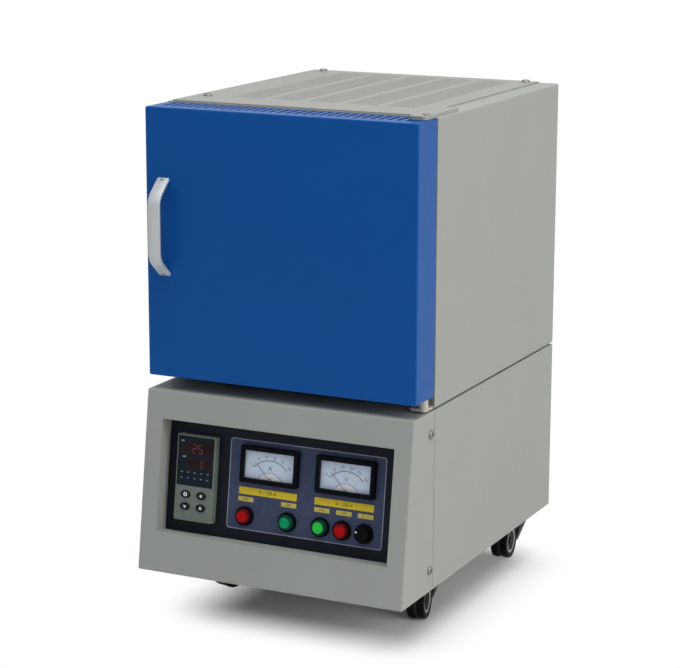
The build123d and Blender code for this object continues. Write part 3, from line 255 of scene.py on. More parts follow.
class Finish:
    # A principled shader with its patterns on object coordinates
    def __init__(self, name, rough, metallic=0.0, specular=0.5):
        self.material = bpy.data.materials.new(name)
        self.material.use_nodes = True
        self.nodes = self.material.node_tree.nodes
        self.links = self.material.node_tree.links
        self.shader = self.nodes["Principled BSDF"]
        self.coords = self.nodes.new("ShaderNodeTexCoord")
        self.shader.inputs["Roughness"].default_value = rough
        self.shader.inputs["Metallic"].default_value = metallic
        self.shader.inputs["Specular IOR Level"].default_value = specular

    def stretched(self, scale):
        mapping = self.nodes.new("ShaderNodeMapping")
        mapping.inputs["Scale"].default_value = scale
        self.links.new(self.coords.outputs["Object"], mapping.inputs["Vector"])
        return mapping.outputs["Vector"]

    def noise(self, size, detail=2.0, rough=0.5, vector=None):
        # Noise whose features are about size metres across
        texture = self.nodes.new("ShaderNodeTexNoise")
        texture.inputs["Scale"].default_value = 1 / size
        texture.inputs["Detail"].default_value = detail
        texture.inputs["Roughness"].default_value = rough
        self.links.new(vector or self.coords.outputs["Object"], texture.inputs["Vector"])
        return texture.outputs["Fac"]

    def cells(self, size):
        texture = self.nodes.new("ShaderNodeTexVoronoi")
        texture.inputs["Scale"].default_value = 1 / size
        self.links.new(self.coords.outputs["Object"], texture.inputs["Vector"])
        return texture.outputs["Distance"]

    def blendColour(self, source, low, high, start=0.35, end=0.65):
        ramp = self.nodes.new("ShaderNodeValToRGB")
        ramp.color_ramp.elements[0].position = start
        ramp.color_ramp.elements[0].color = low
        ramp.color_ramp.elements[1].position = end
        ramp.color_ramp.elements[1].color = high
        self.links.new(source, ramp.inputs["Fac"])
        self.links.new(ramp.outputs["Color"], self.shader.inputs["Base Color"])

    def spreadRough(self, source, low, high):
        span = self.nodes.new("ShaderNodeMapRange")
        span.inputs["From Min"].default_value = 0.3
        span.inputs["From Max"].default_value = 0.7
        span.inputs["To Min"].default_value = low
        span.inputs["To Max"].default_value = high
        self.links.new(source, span.inputs["Value"])
        self.links.new(span.outputs["Result"], self.shader.inputs["Roughness"])

    def bump(self, source, depth, strength):
        node = self.nodes.new("ShaderNodeBump")
        node.inputs["Distance"].default_value = depth
        node.inputs["Strength"].default_value = strength
        self.links.new(source, node.inputs["Height"])
        self.links.new(node.outputs["Normal"], self.shader.inputs["Normal"])

    def glow(self, colour, strength):
        self.shader.inputs["Emission Color"].default_value = colour
        self.shader.inputs["Emission Strength"].default_value = strength


def shade(colour, factor):
    return tuple(min(1.0, channel * factor) for channel in colour[:3]) + (1,)


def powderCoat(name, colour, rough):
    # Baked paint: faint mottling, fine orange peel and a little unevenness in the gloss
    finish = Finish(name, rough=rough, specular=0.12)
    finish.blendColour(finish.noise(80 * mm, 2), shade(colour, 0.985), shade(colour, 1.01))
    finish.spreadRough(finish.noise(9 * mm, 2), rough - 0.03, rough + 0.04)
    finish.bump(finish.noise(1.3 * mm, 1), 0.0054 * mm, 0.4)
    return finish.material


def mouldedPlastic(name, colour, rough, grain, specular=0.15):
    # Moulded plastic: slight mottling, and a texture whose grain is given in millimetres
    finish = Finish(name, rough=rough, specular=specular)
    finish.blendColour(finish.noise(6 * mm, 3), shade(colour, 0.92), shade(colour, 1.08))
    finish.spreadRough(finish.noise(2.5 * mm, 2), rough - 0.05, rough + 0.06)
    finish.bump(finish.noise(grain * mm, 2), 0.01 * mm, 0.5)
    return finish.material


def brushedMetal(name, colour, rough, grain, metallic=1.0):
    # Fine lines: the pattern is squeezed across the direction of brushing, or drawn out along it
    finish = Finish(name, rough=rough, metallic=metallic)
    lines = finish.noise(12 * mm, 4, 0.6, finish.stretched(grain))
    finish.blendColour(lines, shade(colour, 0.9), shade(colour, 1.06))
    finish.spreadRough(lines, rough - 0.07, rough + 0.1)
    finish.bump(lines, 0.006 * mm, 0.5)
    return finish.material


def zincPlate(name, colour, rough):
    finish = Finish(name, rough=rough, metallic=0.95)
    finish.blendColour(finish.cells(3.5 * mm), shade(colour, 0.86), shade(colour, 1.05), 0.1, 0.7)
    finish.spreadRough(finish.noise(4 * mm, 3), rough - 0.08, rough + 0.12)
    finish.bump(finish.noise(0.8 * mm, 2), 0.008 * mm, 0.4)
    return finish.material


def fibreBoard(name, colour, grain=1.6):
    # Vacuum-formed ceramic fibre: matt, with soft lumps and fine strands
    finish = Finish(name, rough=0.95, specular=0.15)
    finish.blendColour(finish.noise(14 * mm, 5, 0.6), shade(colour, 0.88), shade(colour, 1.03))
    finish.bump(finish.noise(grain * mm, 5, 0.7), 0.35 * mm, 0.8)
    return finish.material


def heatTinted(name, colour):
    finish = Finish(name, rough=0.36, metallic=0.9)
    lines = finish.noise(15 * mm, 4, 0.6, finish.stretched((30, 1, 1)))
    finish.blendColour(finish.noise(70 * mm, 3), colour, screenColour(176, 160, 132), 0.4, 0.75)
    finish.spreadRough(lines, 0.28, 0.46)
    finish.bump(lines, 0.008 * mm, 0.5)
    return finish.material


def plainPrint(name, colour):
    # Printed or filled ink, slightly uneven
    finish = Finish(name, rough=0.55, specular=0.15)
    finish.blendColour(finish.noise(3 * mm, 3), shade(colour, 0.94), shade(colour, 1.03))
    finish.bump(finish.noise(0.4 * mm, 1), 0.004 * mm, 0.3)
    return finish.material


def clearWindow(name):
    finish = Finish(name, rough=0.04, specular=0.3)
    finish.shader.inputs["Alpha"].default_value = 0.12
    finish.blendColour(finish.noise(20 * mm, 1), (0.86, 0.9, 0.95, 1), (0.92, 0.95, 1, 1))
    finish.spreadRough(finish.noise(8 * mm, 2), 0.03, 0.06)
    return finish.material


def litPlastic(name, colour, glow=0.0):
    # A coloured button lens: clear gloss over a body that lets a little light through
    finish = Finish(name, rough=0.16, specular=0.08)
    finish.blendColour(finish.noise(5 * mm, 2), shade(colour, 0.88), shade(colour, 1.1))
    finish.bump(finish.noise(1.2 * mm, 1), 0.01 * mm, 0.3)
    if glow:
        finish.glow(colour, glow)
    return finish.material


def glowing(name, colour, strength):
    finish = Finish(name, rough=0.4)
    finish.blendColour(finish.noise(1.5 * mm, 1), shade(colour, 0.9), colour)
    finish.glow(colour, strength)
    return finish.material


finishes = dict(
    grey=powderCoat("greyPaint", screenColour(164, 167, 161), 0.42),
    # A slightly darker copy of the casing grey for the parts on top: painted shade that tones down their lit
    # top faces
    shadedTopGrey=powderCoat("shadedTopPaint", screenColour(161, 162, 157), 0.45),
    blue=powderCoat("bluePaint", screenColour(6, 82, 158), 0.34),
    black=powderCoat("panelBlack", screenColour(19, 25, 34), 0.5),
    film=mouldedPlastic("slateFilm", screenColour(64, 73, 100), 0.42, 0.5),
    stainless=heatTinted("tintedStainless", screenColour(170, 168, 163)),
    screw=zincPlate("screwSteel", screenColour(132, 132, 128), 0.34),
    alloy=brushedMetal("handleAlloy", screenColour(196, 200, 202), 0.5, (1, 1, 0.04), 0.35),
    strap=brushedMetal("strapAlloy", screenColour(200, 202, 205), 0.3, (20, 1, 1)),
    board=fibreBoard("fibreBoard", screenColour(240, 237, 229)),
    wool=fibreBoard("fibreWool", screenColour(228, 224, 214), 3.0),
    hearth=fibreBoard("hearthPlate", screenColour(232, 222, 202), 0.5),
    silicide=powderCoat("silicideRod", screenColour(92, 88, 86), 0.6),
    controller=mouldedPlastic("controllerGrey", screenColour(112, 120, 112), 0.5, 0.5),
    smoked=mouldedPlastic("smokedWindow", screenColour(14, 30, 39), 0.2, 0.8, 0.1),
    digitWell=mouldedPlastic("digitWell", screenColour(34, 16, 20), 0.2, 0.8, 0.1),
    key=mouldedPlastic("keyDark", screenColour(16, 22, 26), 0.5, 0.4),
    gloss=mouldedPlastic("meterBlack", screenColour(5, 9, 16), 0.35, 0.6, 0.05),
    satin=mouldedPlastic("bezelBlack", screenColour(6, 8, 13), 0.45, 0.4, 0.05),
    dial=plainPrint("dialCard", screenColour(216, 231, 255)),
    white=plainPrint("whitePrint", screenColour(246, 247, 248)),
    outline=plainPrint("outlinePrint", screenColour(150, 150, 166)),
    ink=plainPrint("inkPrint", screenColour(16, 18, 28)),
    pointer=plainPrint("needlePaint", screenColour(150, 158, 178)),
    yellow=plainPrint("yellowLabel", screenColour(228, 200, 54)),
    paleYellow=plainPrint("paleLabel", screenColour(208, 190, 96)),
    red=litPlastic("redLens", screenColour(176, 2, 6)),
    green=litPlastic("greenLens", screenColour(5, 156, 98)),
    # The two rim finishes are darker copies of the lens colours: painted shade for the shoulders of the
    # button caps
    redShadedRim=litPlastic("redShadedRim", screenColour(84, 2, 8)),
    greenShadedRim=litPlastic("greenShadedRim", screenColour(4, 66, 52)),
    bright=litPlastic("brightLens", screenColour(44, 196, 70), 0.05),
    redGlow=glowing("redDigits", screenColour(92, 20, 22), 0.03),
    glass=clearWindow("meterGlass"),
    cream=powderCoat("creamPaint", screenColour(204, 197, 184), 0.45),
    tread=mouldedPlastic("treadBlack", screenColour(12, 13, 14), 0.5, 0.7, 0.08),
    hood=mouldedPlastic("hoodBlack", screenColour(54, 55, 55), 0.4, 0.5),
    ring=mouldedPlastic("ringGrey", screenColour(176, 178, 176), 0.4, 0.6),
    inner=mouldedPlastic("innerBlack", screenColour(34, 35, 37), 0.5, 0.5),
    shadow=mouldedPlastic("seamShadow", screenColour(104, 107, 104), 0.7, 0.5),
    breaker=mouldedPlastic("breakerGrey", screenColour(206, 208, 204), 0.4, 0.5),
    lamination=brushedMetal("laminations", screenColour(92, 82, 70), 0.55, (1, 30, 1), 0.5),
)
print("finishes made:", len(finishes))

nodeFinish = dict(
    upper_casing="grey", top_cover="shadedTopGrey", upper_rear_panel="grey", inner_casing="stainless",
    insulation_jacket="wool", muffle_chamber="board", hearth_plate="hearth", heating_elements="silicide",
    element_terminals="strap", thermocouple="hearth", upper_hinge_plate="shadedTopGrey",
    lower_hinge_bracket="cream", upper_hinge_pin="screw", lower_hinge_pin="cream", door_switch="inner",
    door_switch_plunger="screw", door_shell="blue", door_back_pan="stainless", door_plug="board",
    door_handle="alloy", handle_screws="screw", cabinet_casing="grey", cabinet_front="grey",
    cabinet_rear_panel="grey", casing_screws="screw", control_panel="black", panel_overlay="film",
    controller_case="controller", controller_display="smoked", meter_cases="gloss", meter_dials="dial",
    meter_windows="glass", ammeter_needle="pointer", voltmeter_needle="pointer", button_bezels="satin",
    red_stop_button="red", red_off_button="red", green_start_button="green", green_on_button="bright",
    selector_knob="satin", fan_frame="inner", fan_rotor="inner", breaker="breaker",
    breaker_toggle="satin", cable_gland="inner", transformer="lamination", power_regulator="strap",
    castor_plates="screw",
)
for node, piece in frame["nodes"].items():
    if node.startswith("controller_key"):
        tone = "key"
    elif node.startswith("castor_hood"):
        tone = "hood"
    elif node.startswith("castor_wheels"):
        tone = "tread"
    else:
        tone = nodeFinish[node]
    for slot in piece.material_slots:
        slot.material = finishes[tone]
print("nodes dressed:", len(frame["nodes"]))


# Top cover: five bands of round holes in one sheet

cover = dict(columns=44, rows=56, bandCells=9, cell=46 / 9 * mm, row=5.0 * mm, bandColumns=3, hole=2.25 * mm,
             front=51 * mm, near=0.1 * mm, holeShare=0.8)


def makeTopCover():
    low, high = nodeLow("top_cover"), nodeHigh("top_cover")
    spanX = cover["columns"] * cover["cell"]
    spanY = cover["rows"] * cover["row"]
    middleY = bodyFront + cover["front"] + spanY / 2
    deselectAll()
    bpy.ops.mesh.primitive_grid_add(x_subdivisions=cover["columns"], y_subdivisions=cover["rows"], size=1)
    piece = named("perforatedCover")
    settle(piece, Matrix.Translation((0, middleY, low.z)) @ Matrix.Diagonal((spanX, spanY, 1, 1)))

    def inBand(place):
        column = round(place.x / cover["cell"])
        row = round((place.y - middleY) / cover["row"])
        half = cover["bandCells"] // 2
        fromBand = abs((column + half) % cover["bandCells"] - half)
        return fromBand <= cover["bandColumns"] and abs(row) < cover["rows"] / 2

    # Margins run out from the grid to the edges of the sheet
    for axis, edge, target in (
        ("x", -spanX / 2, low.x), ("x", spanX / 2, high.x),
        ("y", middleY - spanY / 2, low.y), ("y", middleY + spanY / 2, high.y),
    ):
        pickVerts(piece, lambda place: abs(getattr(place, axis) - edge) < cover["near"])
        step = Vector((target - edge, 0, 0)) if axis == "x" else Vector((0, target - edge, 0))
        bpy.ops.mesh.extrude_edges_move(TRANSFORM_OT_translate={"value": step})
        leaveEdit()
    pickVerts(piece, inBand)
    bpy.ops.mesh.bevel(offset=cover["hole"], segments=2, affect="VERTICES", profile=0.5)
    leaveEdit()

    def overHole(centre, normal):
        column = round(centre.x / cover["cell"])
        row = round((centre.y - middleY) / cover["row"])
        lattice = Vector((column * cover["cell"], middleY + row * cover["row"], centre.z))
        return inBand(lattice) and (centre - lattice).length < cover["holeShare"] * cover["hole"]

    pickFaces(piece, overHole)
    bpy.ops.mesh.delete(type="FACE")
    leaveEdit()
    thicken(piece, high.z - low.z)
    return dressed(piece, "body", finishes["shadedTopGrey"], ["top_cover"], 30)


makeTopCover()
print("top cover made")


# Screws: low domed heads with a cross recess, and countersunk ones in the face plate

screw = dict(radius=4.9 * mm, height=2.6 * mm, slot=1.0 * mm, reach=5.4 * mm, deep=1.3 * mm, dome=2.1 * mm,
             foot=2.0 * mm, sunk=1.8 * mm, sunkRadius=3.8 * mm, sunkReach=4.2 * mm, sunkCross=0.6 * mm,
             sides=28, firstTurn=0.4, nextTurn=1.1)
screwPlace = dict(forward=10 * mm, low=24.5 * mm, high=24.2 * mm, coverInset=17 * mm, coverFront=49.5 * mm,
                  coverCorner=13 * mm, corner=9.2 * mm, bracket=2.5 * mm)


def cutCross(head, top, reach, depth):
    for turn in (0, math.pi / 2):
        cutter = block("cutter", (reach, screw["slot"], depth * 2), (0, 0, top))
        settle(cutter, Matrix.Rotation(turn, 4, "Z"))
        cut = head.modifiers.new("cross", "BOOLEAN")
        cut.object = cutter
        cut.solver = "EXACT"
        applyAll(head)
        remove(cutter)
    return head


def makeDomedHead():
    head = drum("domedHead", screw["radius"], screw["height"], sides=screw["sides"])
    pickFaces(head, lambda centre, normal: normal.z > 0.9)
    bpy.ops.mesh.bevel(offset=screw["dome"], segments=4, affect="EDGES")
    leaveEdit()
    return cutCross(head, screw["height"], screw["reach"], screw["deep"])


def makeFlushHead():
    deselectAll()
    bpy.ops.mesh.primitive_cone_add(vertices=screw["sides"], radius1=screw["foot"],
                                    radius2=screw["sunkRadius"], depth=screw["sunk"],
                                    location=(0, 0, -screw["sunk"] / 2))
    return cutCross(settle(named("flushHead")), 0, screw["sunkReach"], screw["sunkCross"])


def domedPlaces():
    # Where each domed head sits, and how its +Z turns to face outwards
    places = []
    for side in (-1, 1):
        sideways = Matrix.Rotation(side * math.pi / 2, 4, "Y")
        for level in (cabinetBase + screwPlace["low"], cabinetTop - screwPlace["high"]):
            places.append((Vector((side * sideX, bodyFront - screwPlace["forward"], level)), sideways))
    low, high = nodeLow("top_cover"), nodeHigh("top_cover")
    left, right = low.x + screwPlace["coverInset"], high.x - screwPlace["coverCorner"]
    back = bodyBack - screwPlace["coverCorner"]
    for x, y in ((left, bodyFront + screwPlace["coverFront"]), (left, back), (right, back)):
        places.append((Vector((x, y, high.z)), Matrix.Identity(4)))
    for base, top in ((cabinetBase, cabinetTop), (bodyBase, bodyTop)):
        for side in (-1, 1):
            for level in (base + screwPlace["corner"], top - screwPlace["corner"]):
                place = Vector((side * (sideX - screwPlace["corner"]), bodyBack, level))
                places.append((place, Matrix.Rotation(-math.pi / 2, 4, "X")))
    return places


def facePlaces():
    places = []
    for side in (-1, 1):
        for level in (bodyBase + screwPlace["bracket"] + screwPlace["corner"],
                      bodyTop - screwPlace["corner"]):
            place = Vector((side * (sideX - screwPlace["corner"]), bodyFront, level))
            places.append((place, Matrix.Rotation(math.pi / 2, 4, "X")))
    return places


def makeScrews():
    domed = makeDomedHead()
    flush = makeFlushHead()
    heads = []
    for head, places in ((domed, domedPlaces()), (flush, facePlaces())):
        for place, facing in places:
            spin = Matrix.Rotation(screw["firstTurn"] + screw["nextTurn"] * len(heads), 4, "Z")
            heads.append(copied(head, Matrix.Translation(place) @ facing @ spin))
        remove(head)
    piece = join(heads, "screwHeads")
    return dressed(piece, "body", finishes["screw"], ["casing_screws"], 35)


makeScrews()
print("screws made")


# Door handle: a flat strap bent into a bow

handle = dict(width=14.5 * mm, thick=3.6 * mm, bend=7.5 * mm, edge=1.1 * mm, sink=0.9 * mm,
              slant=0.92)


def makeHandle():
    low, high = nodeLow("door_handle"), nodeHigh("door_handle")
    reach = doorFace - low.y - handle["thick"] / 2
    length = high.z - low.z - handle["thick"]
    deselectAll()
    bpy.ops.mesh.primitive_plane_add(size=1, rotation=(0, math.pi / 2, 0))
    piece = settle(named("bowHandle"))
    settle(piece, Matrix.Diagonal((1, reach + handle["sink"], length, 1)))
    centre = Vector((low.x, doorFace - reach / 2 + handle["sink"] / 2, (low.z + high.z) / 2))
    settle(piece, Matrix.Translation(centre))
    # The two corners away from the door draw in, then the face and the edge along the door go
    pickVerts(piece, lambda place: place.y < centre.y)
    grip = (length - 2 * reach * handle["slant"]) / length
    bpy.ops.transform.resize(value=(1, 1, grip), center_override=centre)
    bpy.ops.mesh.select_all(action="SELECT")
    bpy.ops.mesh.delete(type="ONLY_FACE")
    pickVerts(piece, lambda place: place.y > centre.y)
    bpy.ops.mesh.select_mode(type="EDGE")
    bpy.ops.mesh.delete(type="EDGE")
    pickVerts(piece, lambda place: place.y < centre.y)
    bpy.ops.mesh.bevel(offset=handle["bend"], segments=8, affect="VERTICES")
    bpy.ops.mesh.select_all(action="SELECT")
    bpy.ops.mesh.extrude_edges_move(TRANSFORM_OT_translate={"value": (handle["width"], 0, 0)})
    bpy.ops.mesh.select_all(action="SELECT")
    bpy.ops.mesh.normals_make_consistent(inside=False)
    leaveEdit()
    thicken(piece, handle["thick"], 0.0)
    roundEdges(piece, handle["edge"], 3, 50)
    return dressed(piece, "door", finishes["alloy"], ["door_handle"], 35)


makeHandle()
print("handle made")


# Seam where the front shell of the cabinet meets the casing, on both sides

seam = dict(wide=0.8 * mm, proud=0.04 * mm, margin=2.5 * mm, softShare=0.4)


def makeSeams():
    strips = []
    for side in (-1, 1):
        size = (seam["proud"] * 2, seam["wide"], cabinetTop - cabinetBase - 2 * seam["margin"])
        place = (side * sideX, bodyFront, (cabinetBase + cabinetTop) / 2)
        strips.append(block("seam", size, place, seam["proud"] * seam["softShare"]))
    return dressed(join(strips, "cabinetSeams"), "body", finishes["shadow"], smooth=0)


makeSeams()
print("seams made")


# Panel print: the rounded outline and the label plates

filmLeft = nodeLow("panel_overlay").x
filmRight = nodeHigh("panel_overlay").x
outline = dict(top=44.5 * mm, height=100 * mm, inset=0.15 * mm, corner=3.4 * mm, line=1.0 * mm,
               thick=0.06 * mm)


def makeOutline():
    wide = filmRight - filmLeft - 2 * outline["inset"]
    tall = outline["height"] - 2 * outline["inset"]
    deselectAll()
    bpy.ops.mesh.primitive_plane_add(size=1)
    piece = settle(named("panelOutline"))
    settle(piece, Matrix.Diagonal((wide, tall, 1, 1)))
    pickVerts(piece, lambda place: True)
    bpy.ops.mesh.bevel(offset=outline["corner"], segments=6, affect="VERTICES")
    bpy.ops.mesh.select_mode(type="FACE")
    bpy.ops.mesh.select_all(action="SELECT")
    bpy.ops.mesh.inset(thickness=outline["line"])
    bpy.ops.mesh.delete(type="FACE")
    leaveEdit()
    thicken(piece, outline["thick"])
    settle(piece, onPanel((filmLeft + filmRight) / 2, outline["top"] + outline["height"] / 2))
    return dressed(piece, "body", finishes["outline"], smooth=0)


labelSoft = 0.4
wideLabel = dict(size=(70.5 * mm, 8 * mm), down=101 * mm, thick=0.35 * mm, letters=5.4 * mm,
                 places={"A": (48.8 * mm, "0 - 100 A"), "V": (140.8 * mm, "0 - 250 V")})
smallLabel = dict(size=(18.4 * mm, 5 * mm), down=110.4 * mm, thick=0.3 * mm, letters=4.0 * mm,
                  places={"stop": (22.5 * mm, "OFF"), "start": (74.9 * mm, "ON"),
                          "on": (114.9 * mm, "ON"), "off": (141.1 * mm, "OFF"),
                          "select": (166.9 * mm, "0 - 1")})


def makeLabels(kind, title, finish):
    for name, (across, text) in kind["places"].items():
        plate = block(f"{title}Label_{name}", (*kind["size"], kind["thick"]), (0, 0, kind["thick"] / 2),
                      kind["thick"] * labelSoft)
        settle(plate, onPanel(filmLeft + across, kind["down"]))
        dressed(plate, "body", finish)
        mark = words(f"{title}Mark_{name}", text, kind["letters"],
                     onPanel(filmLeft + across, kind["down"], kind["thick"]))
        dressed(mark, "body", finishes["ink"], smooth=0)


makeOutline()
makeLabels(wideLabel, "wide", finishes["yellow"])
makeLabels(smallLabel, "small", finishes["paleYellow"])
print("panel print made")


# Meter dials: scale arc, ticks, numbers, letter and the white half disc over the movement

meter = dict(down=70.8 * mm, height=30.5 * mm, dialTop=1.1 * mm, arc=26 * mm, line=0.7 * mm, sweep=48,
             ticks=20, tick=1.2 * mm, longTick=2.4 * mm, overlap=1.05, number=3.8 * mm, numberArc=30.4 * mm,
             letter=8 * mm, letterArc=17.5 * mm, half=16 * mm, sunk=8.4 * mm, rim=0.5 * mm,
             thick=0.06 * mm, drop=5 * mm)
meters = {"ammeter": (50.5 * mm, "A", ("0", "20", "40", "60", "80", "100")),
          "voltmeter": (142 * mm, "V", ("0", "50", "100", "150", "200", "250"))}


def meterPoint(across, angle, radius):
    # A place on the dial, at an angle from upright about the needle's pivot
    swing = math.radians(angle)
    pivot = meter["down"] + meter["height"] / 2 + meter["drop"]
    return onPanel(filmLeft + across + radius * math.sin(swing), pivot - radius * math.cos(swing),
                   meter["dialTop"], -swing)


def makeDialPrint(name, across, letter, numbers):
    marks = []
    count = meter["ticks"]
    for step in range(count + 1):
        angle = -meter["sweep"] + 2 * meter["sweep"] * step / count
        numbered = step % (count // (len(numbers) - 1)) == 0
        tall = meter["longTick"] if numbered else meter["tick"]
        mark = block("tick", (meter["line"], tall, meter["thick"]), (0, 0, meter["thick"] / 2))
        marks.append(settle(mark, meterPoint(across, angle, meter["arc"] + tall / 2)))
    for step in range(2 * count):
        angle = -meter["sweep"] + meter["sweep"] * (step + 0.5) / count
        wide = meter["arc"] * math.radians(meter["sweep"] / count) * meter["overlap"]
        mark = block("arcStep", (wide, meter["line"], meter["thick"]), (0, 0, meter["thick"] / 2))
        marks.append(settle(mark, meterPoint(across, angle, meter["arc"])))
    for step, number in enumerate(numbers):
        angle = -meter["sweep"] + 2 * meter["sweep"] * step / (len(numbers) - 1)
        marks.append(words("number", number, meter["number"], meterPoint(across, angle, meter["numberArc"])))
    marks.append(words("letter", letter, meter["letter"], meterPoint(across, 0, meter["letterArc"])))
    piece = join(marks, f"{name}Scale")
    dressed(piece, "body", finishes["ink"], smooth=0)

    # A half disc with a dark rim lies along the foot of the window
    for part, radius, tone, level in (
        ("Rim", meter["half"] + meter["rim"], "ink", 1),
        ("", meter["half"], "white", 2),
    ):
        disc = drum(f"{name}HalfDisc{part}", radius, meter["thick"], sides=64)
        pickVerts(disc, lambda place: True)
        bpy.ops.mesh.bisect(plane_co=(0, meter["sunk"], 0), plane_no=(0, -1, 0),
                            use_fill=True, clear_outer=True)
        leaveEdit()
        foot = meter["down"] + meter["height"] / 2 + meter["sunk"]
        settle(disc, onPanel(filmLeft + across, foot, meter["dialTop"] + level * meter["thick"]))
        dressed(disc, "body", finishes[tone], smooth=30)


for meterName, (across, letter, numbers) in meters.items():
    makeDialPrint(meterName, across, letter, numbers)
print("dials printed")


# Controller: digits in their dark wells, indicator marks and key symbols

controller = dict(middle=-102 * mm, top=46.5 * mm, width=48 * mm, face=9 * mm - slope["film"],
                  window=-0.2 * mm)
controller["glass"] = controller["face"] + controller["window"]
digit = dict(high=9.5 * mm, small=6.8 * mm, aspect=0.5, pitch=1.55, bar=0.16, stroke=0.7, soft=0.12,
             thick=0.08 * mm)
segments = {"0": "abcdef", "2": "abged", "5": "afgcd"}
well = dict(thick=0.1 * mm, level=-0.03 * mm, soft=0.03 * mm)
indicator = dict(size=(2.6 * mm, 0.8 * mm), across=7.5 * mm, down=42 * mm, columns=5, rows=2,
                 stepAcross=8.1 * mm, stepDown=6.3 * mm, thick=0.08 * mm, soft=0.03 * mm)
heading = dict(size=(4.0 * mm, 1.5 * mm), places=((7.0 * mm, 7.5 * mm), (9.5 * mm, 25.0 * mm)))


def makeDigits(name, text, across, down, high):
    # Seven-segment digits, each a few thin bars
    wide = high * digit["aspect"]
    bar = high * digit["bar"]
    stroke = bar * digit["stroke"]
    bars = {"a": (0, 0.5, 0), "g": (0, 0, 0), "d": (0, -0.5, 0), "f": (-0.5, 0.25, 1), "b": (0.5, 0.25, 1),
            "e": (-0.5, -0.25, 1), "c": (0.5, -0.25, 1)}
    pieces = []
    for place, character in enumerate(text):
        shift = (place - (len(text) - 1) / 2) * wide * digit["pitch"]
        for segment in segments[character]:
            x, y, upright = bars[segment]
            level, tall = (stroke, (high - bar) / 2) if upright else (wide - bar / 2, stroke)
            centre = (shift + x * wide, y * high, digit["thick"] / 2)
            pieces.append(block("bar", (level, tall, digit["thick"]), centre, bar * digit["soft"], 1))
    whole = join(pieces, name)
    settle(whole, onPanel(across, down, controller["glass"]))
    return dressed(whole, "body", finishes["redGlow"])


def makeWell(name, across, down, size):
    plate = block(name, (*size, well["thick"]), (0, 0, well["level"]), well["soft"])
    settle(plate, onPanel(across, down, controller["glass"]))
    return dressed(plate, "body", finishes["digitWell"])


def makeMarks():
    places = [(indicator["size"], indicator["across"] + indicator["stepAcross"] * column,
               indicator["down"] + indicator["stepDown"] * row)
              for row in range(indicator["rows"]) for column in range(indicator["columns"])]
    places += [(heading["size"], across, down) for across, down in heading["places"]]
    left = controller["middle"] - controller["width"] / 2
    marks = []
    for size, across, down in places:
        mark = block("mark", (*size, indicator["thick"]), (0, 0, indicator["thick"] / 2), indicator["soft"])
        marks.append(settle(mark, onPanel(left + across, controller["top"] + down, controller["glass"])))
    return dressed(join(marks, "displayMarks"), "body", finishes["outline"])


keySymbol = dict(radius=2.295 * mm, ring=1.134 * mm, thick=0.12 * mm, level=0.98 * mm, soft=0.15 * mm,
                 sides=28)
keySymbols = {1: ("ring", -112 * mm, 113 * mm, 0), 2: ("arrow", -92.5 * mm, 113 * mm, 90),
              3: ("arrow", -112 * mm, 126.5 * mm, 180), 4: ("arrow", -92.5 * mm, 126.5 * mm, 0)}


def makeKeySymbols():
    for number, (shape, across, down, turn) in keySymbols.items():
        if shape == "ring":
            piece = drum("symbol", keySymbol["radius"], keySymbol["thick"], sides=keySymbol["sides"])
            pierce(piece, keySymbol["ring"])
        else:
            piece = drum("symbol", keySymbol["radius"], keySymbol["thick"], sides=3)
            settle(piece, Matrix.Rotation(math.radians(turn), 4, "Z"))
            roundEdges(piece, keySymbol["soft"], 2, 50)
        piece.name = f"keySymbol_{number}"
        settle(piece, onPanel(across, down, controller["face"] + keySymbol["level"]))
        dressed(piece, f"key_{number}", finishes["white"])


wells = {"upperWell": (1.5 * mm, 15.5 * mm, (38 * mm, 14 * mm)),
         "lowerWell": (4.5 * mm, 32 * mm, (30 * mm, 11 * mm))}
readings = {"upperDigits": ("25", 1.5 * mm, 15.5 * mm, digit["high"]),
            "lowerDigits": ("0", 8 * mm, 32 * mm, digit["small"])}
for name, (across, down, size) in wells.items():
    makeWell(name, controller["middle"] + across, controller["top"] + down, size)
for name, (text, across, down, high) in readings.items():
    makeDigits(name, text, controller["middle"] + across, controller["top"] + down, high)
makeMarks()
makeKeySymbols()
print("controller dressed")


# Selector pointer, and painted shade on the rounded rims of the four button caps

button = dict(down=128.9 * mm, rest=3.0 * mm, high=4.4 * mm, radius=8.5 * mm, round=2.0 * mm,
              bezel=3.6 * mm, skin=0.06 * mm, lap=0.3 * mm)
shadedButtonRims = {"red_stop_button": (22.5 * mm, 6.5 * mm, "redShadedRim", "button_red"),
              "green_start_button": (74.5 * mm, 6.1 * mm, "greenShadedRim", "button_green"),
              "green_on_button": (114.5 * mm, 6.5 * mm, "greenShadedRim", "button_green"),
              "red_off_button": (140.5 * mm, 6.5 * mm, "redShadedRim", "button_red")}
pointer = dict(across=166.5 * mm, orbit=6.2 * mm, turn=160, radius=1.05 * mm, high=0.6 * mm, crown=9.2 * mm)


def makePointer():
    dot = drum("selectorPointer", pointer["radius"], pointer["high"], button["skin"] - pointer["high"], 24)
    turn = math.radians(pointer["turn"])
    across = filmLeft + pointer["across"] + pointer["orbit"] * math.cos(turn)
    settle(dot, onPanel(across, button["down"] - pointer["orbit"] * math.sin(turn), pointer["crown"]))
    return dressed(dot, "knob", finishes["white"])


def makeShadedButtonRim(node, across, face, tone, slotName):
    # A darker skin over the rounded shoulder of a cap, painted shade where the shoulder turns away from the
    # light; it is open over the lit face
    high = button["rest"] + button["high"] + button["skin"] - button["bezel"]
    rim = drum(f"lensRim_{node}", button["radius"] + button["skin"], high, base=button["bezel"], sides=48)
    pickFaces(rim, lambda centre, normal: normal.z > 0.9)
    bpy.ops.mesh.bevel(offset=button["round"], segments=8, affect="EDGES")
    leaveEdit()
    pierce(rim, button["radius"] - button["round"] + button["skin"] - face + button["lap"])
    settle(rim, onPanel(filmLeft + across, button["down"]))
    return dressed(rim, node, finishes[tone])


makePointer()
for node, values in shadedButtonRims.items():
    makeShadedButtonRim(node, *values)
print("pointer and button rims made")


# Castors: moulded wheel discs with a light ring let into each outer face

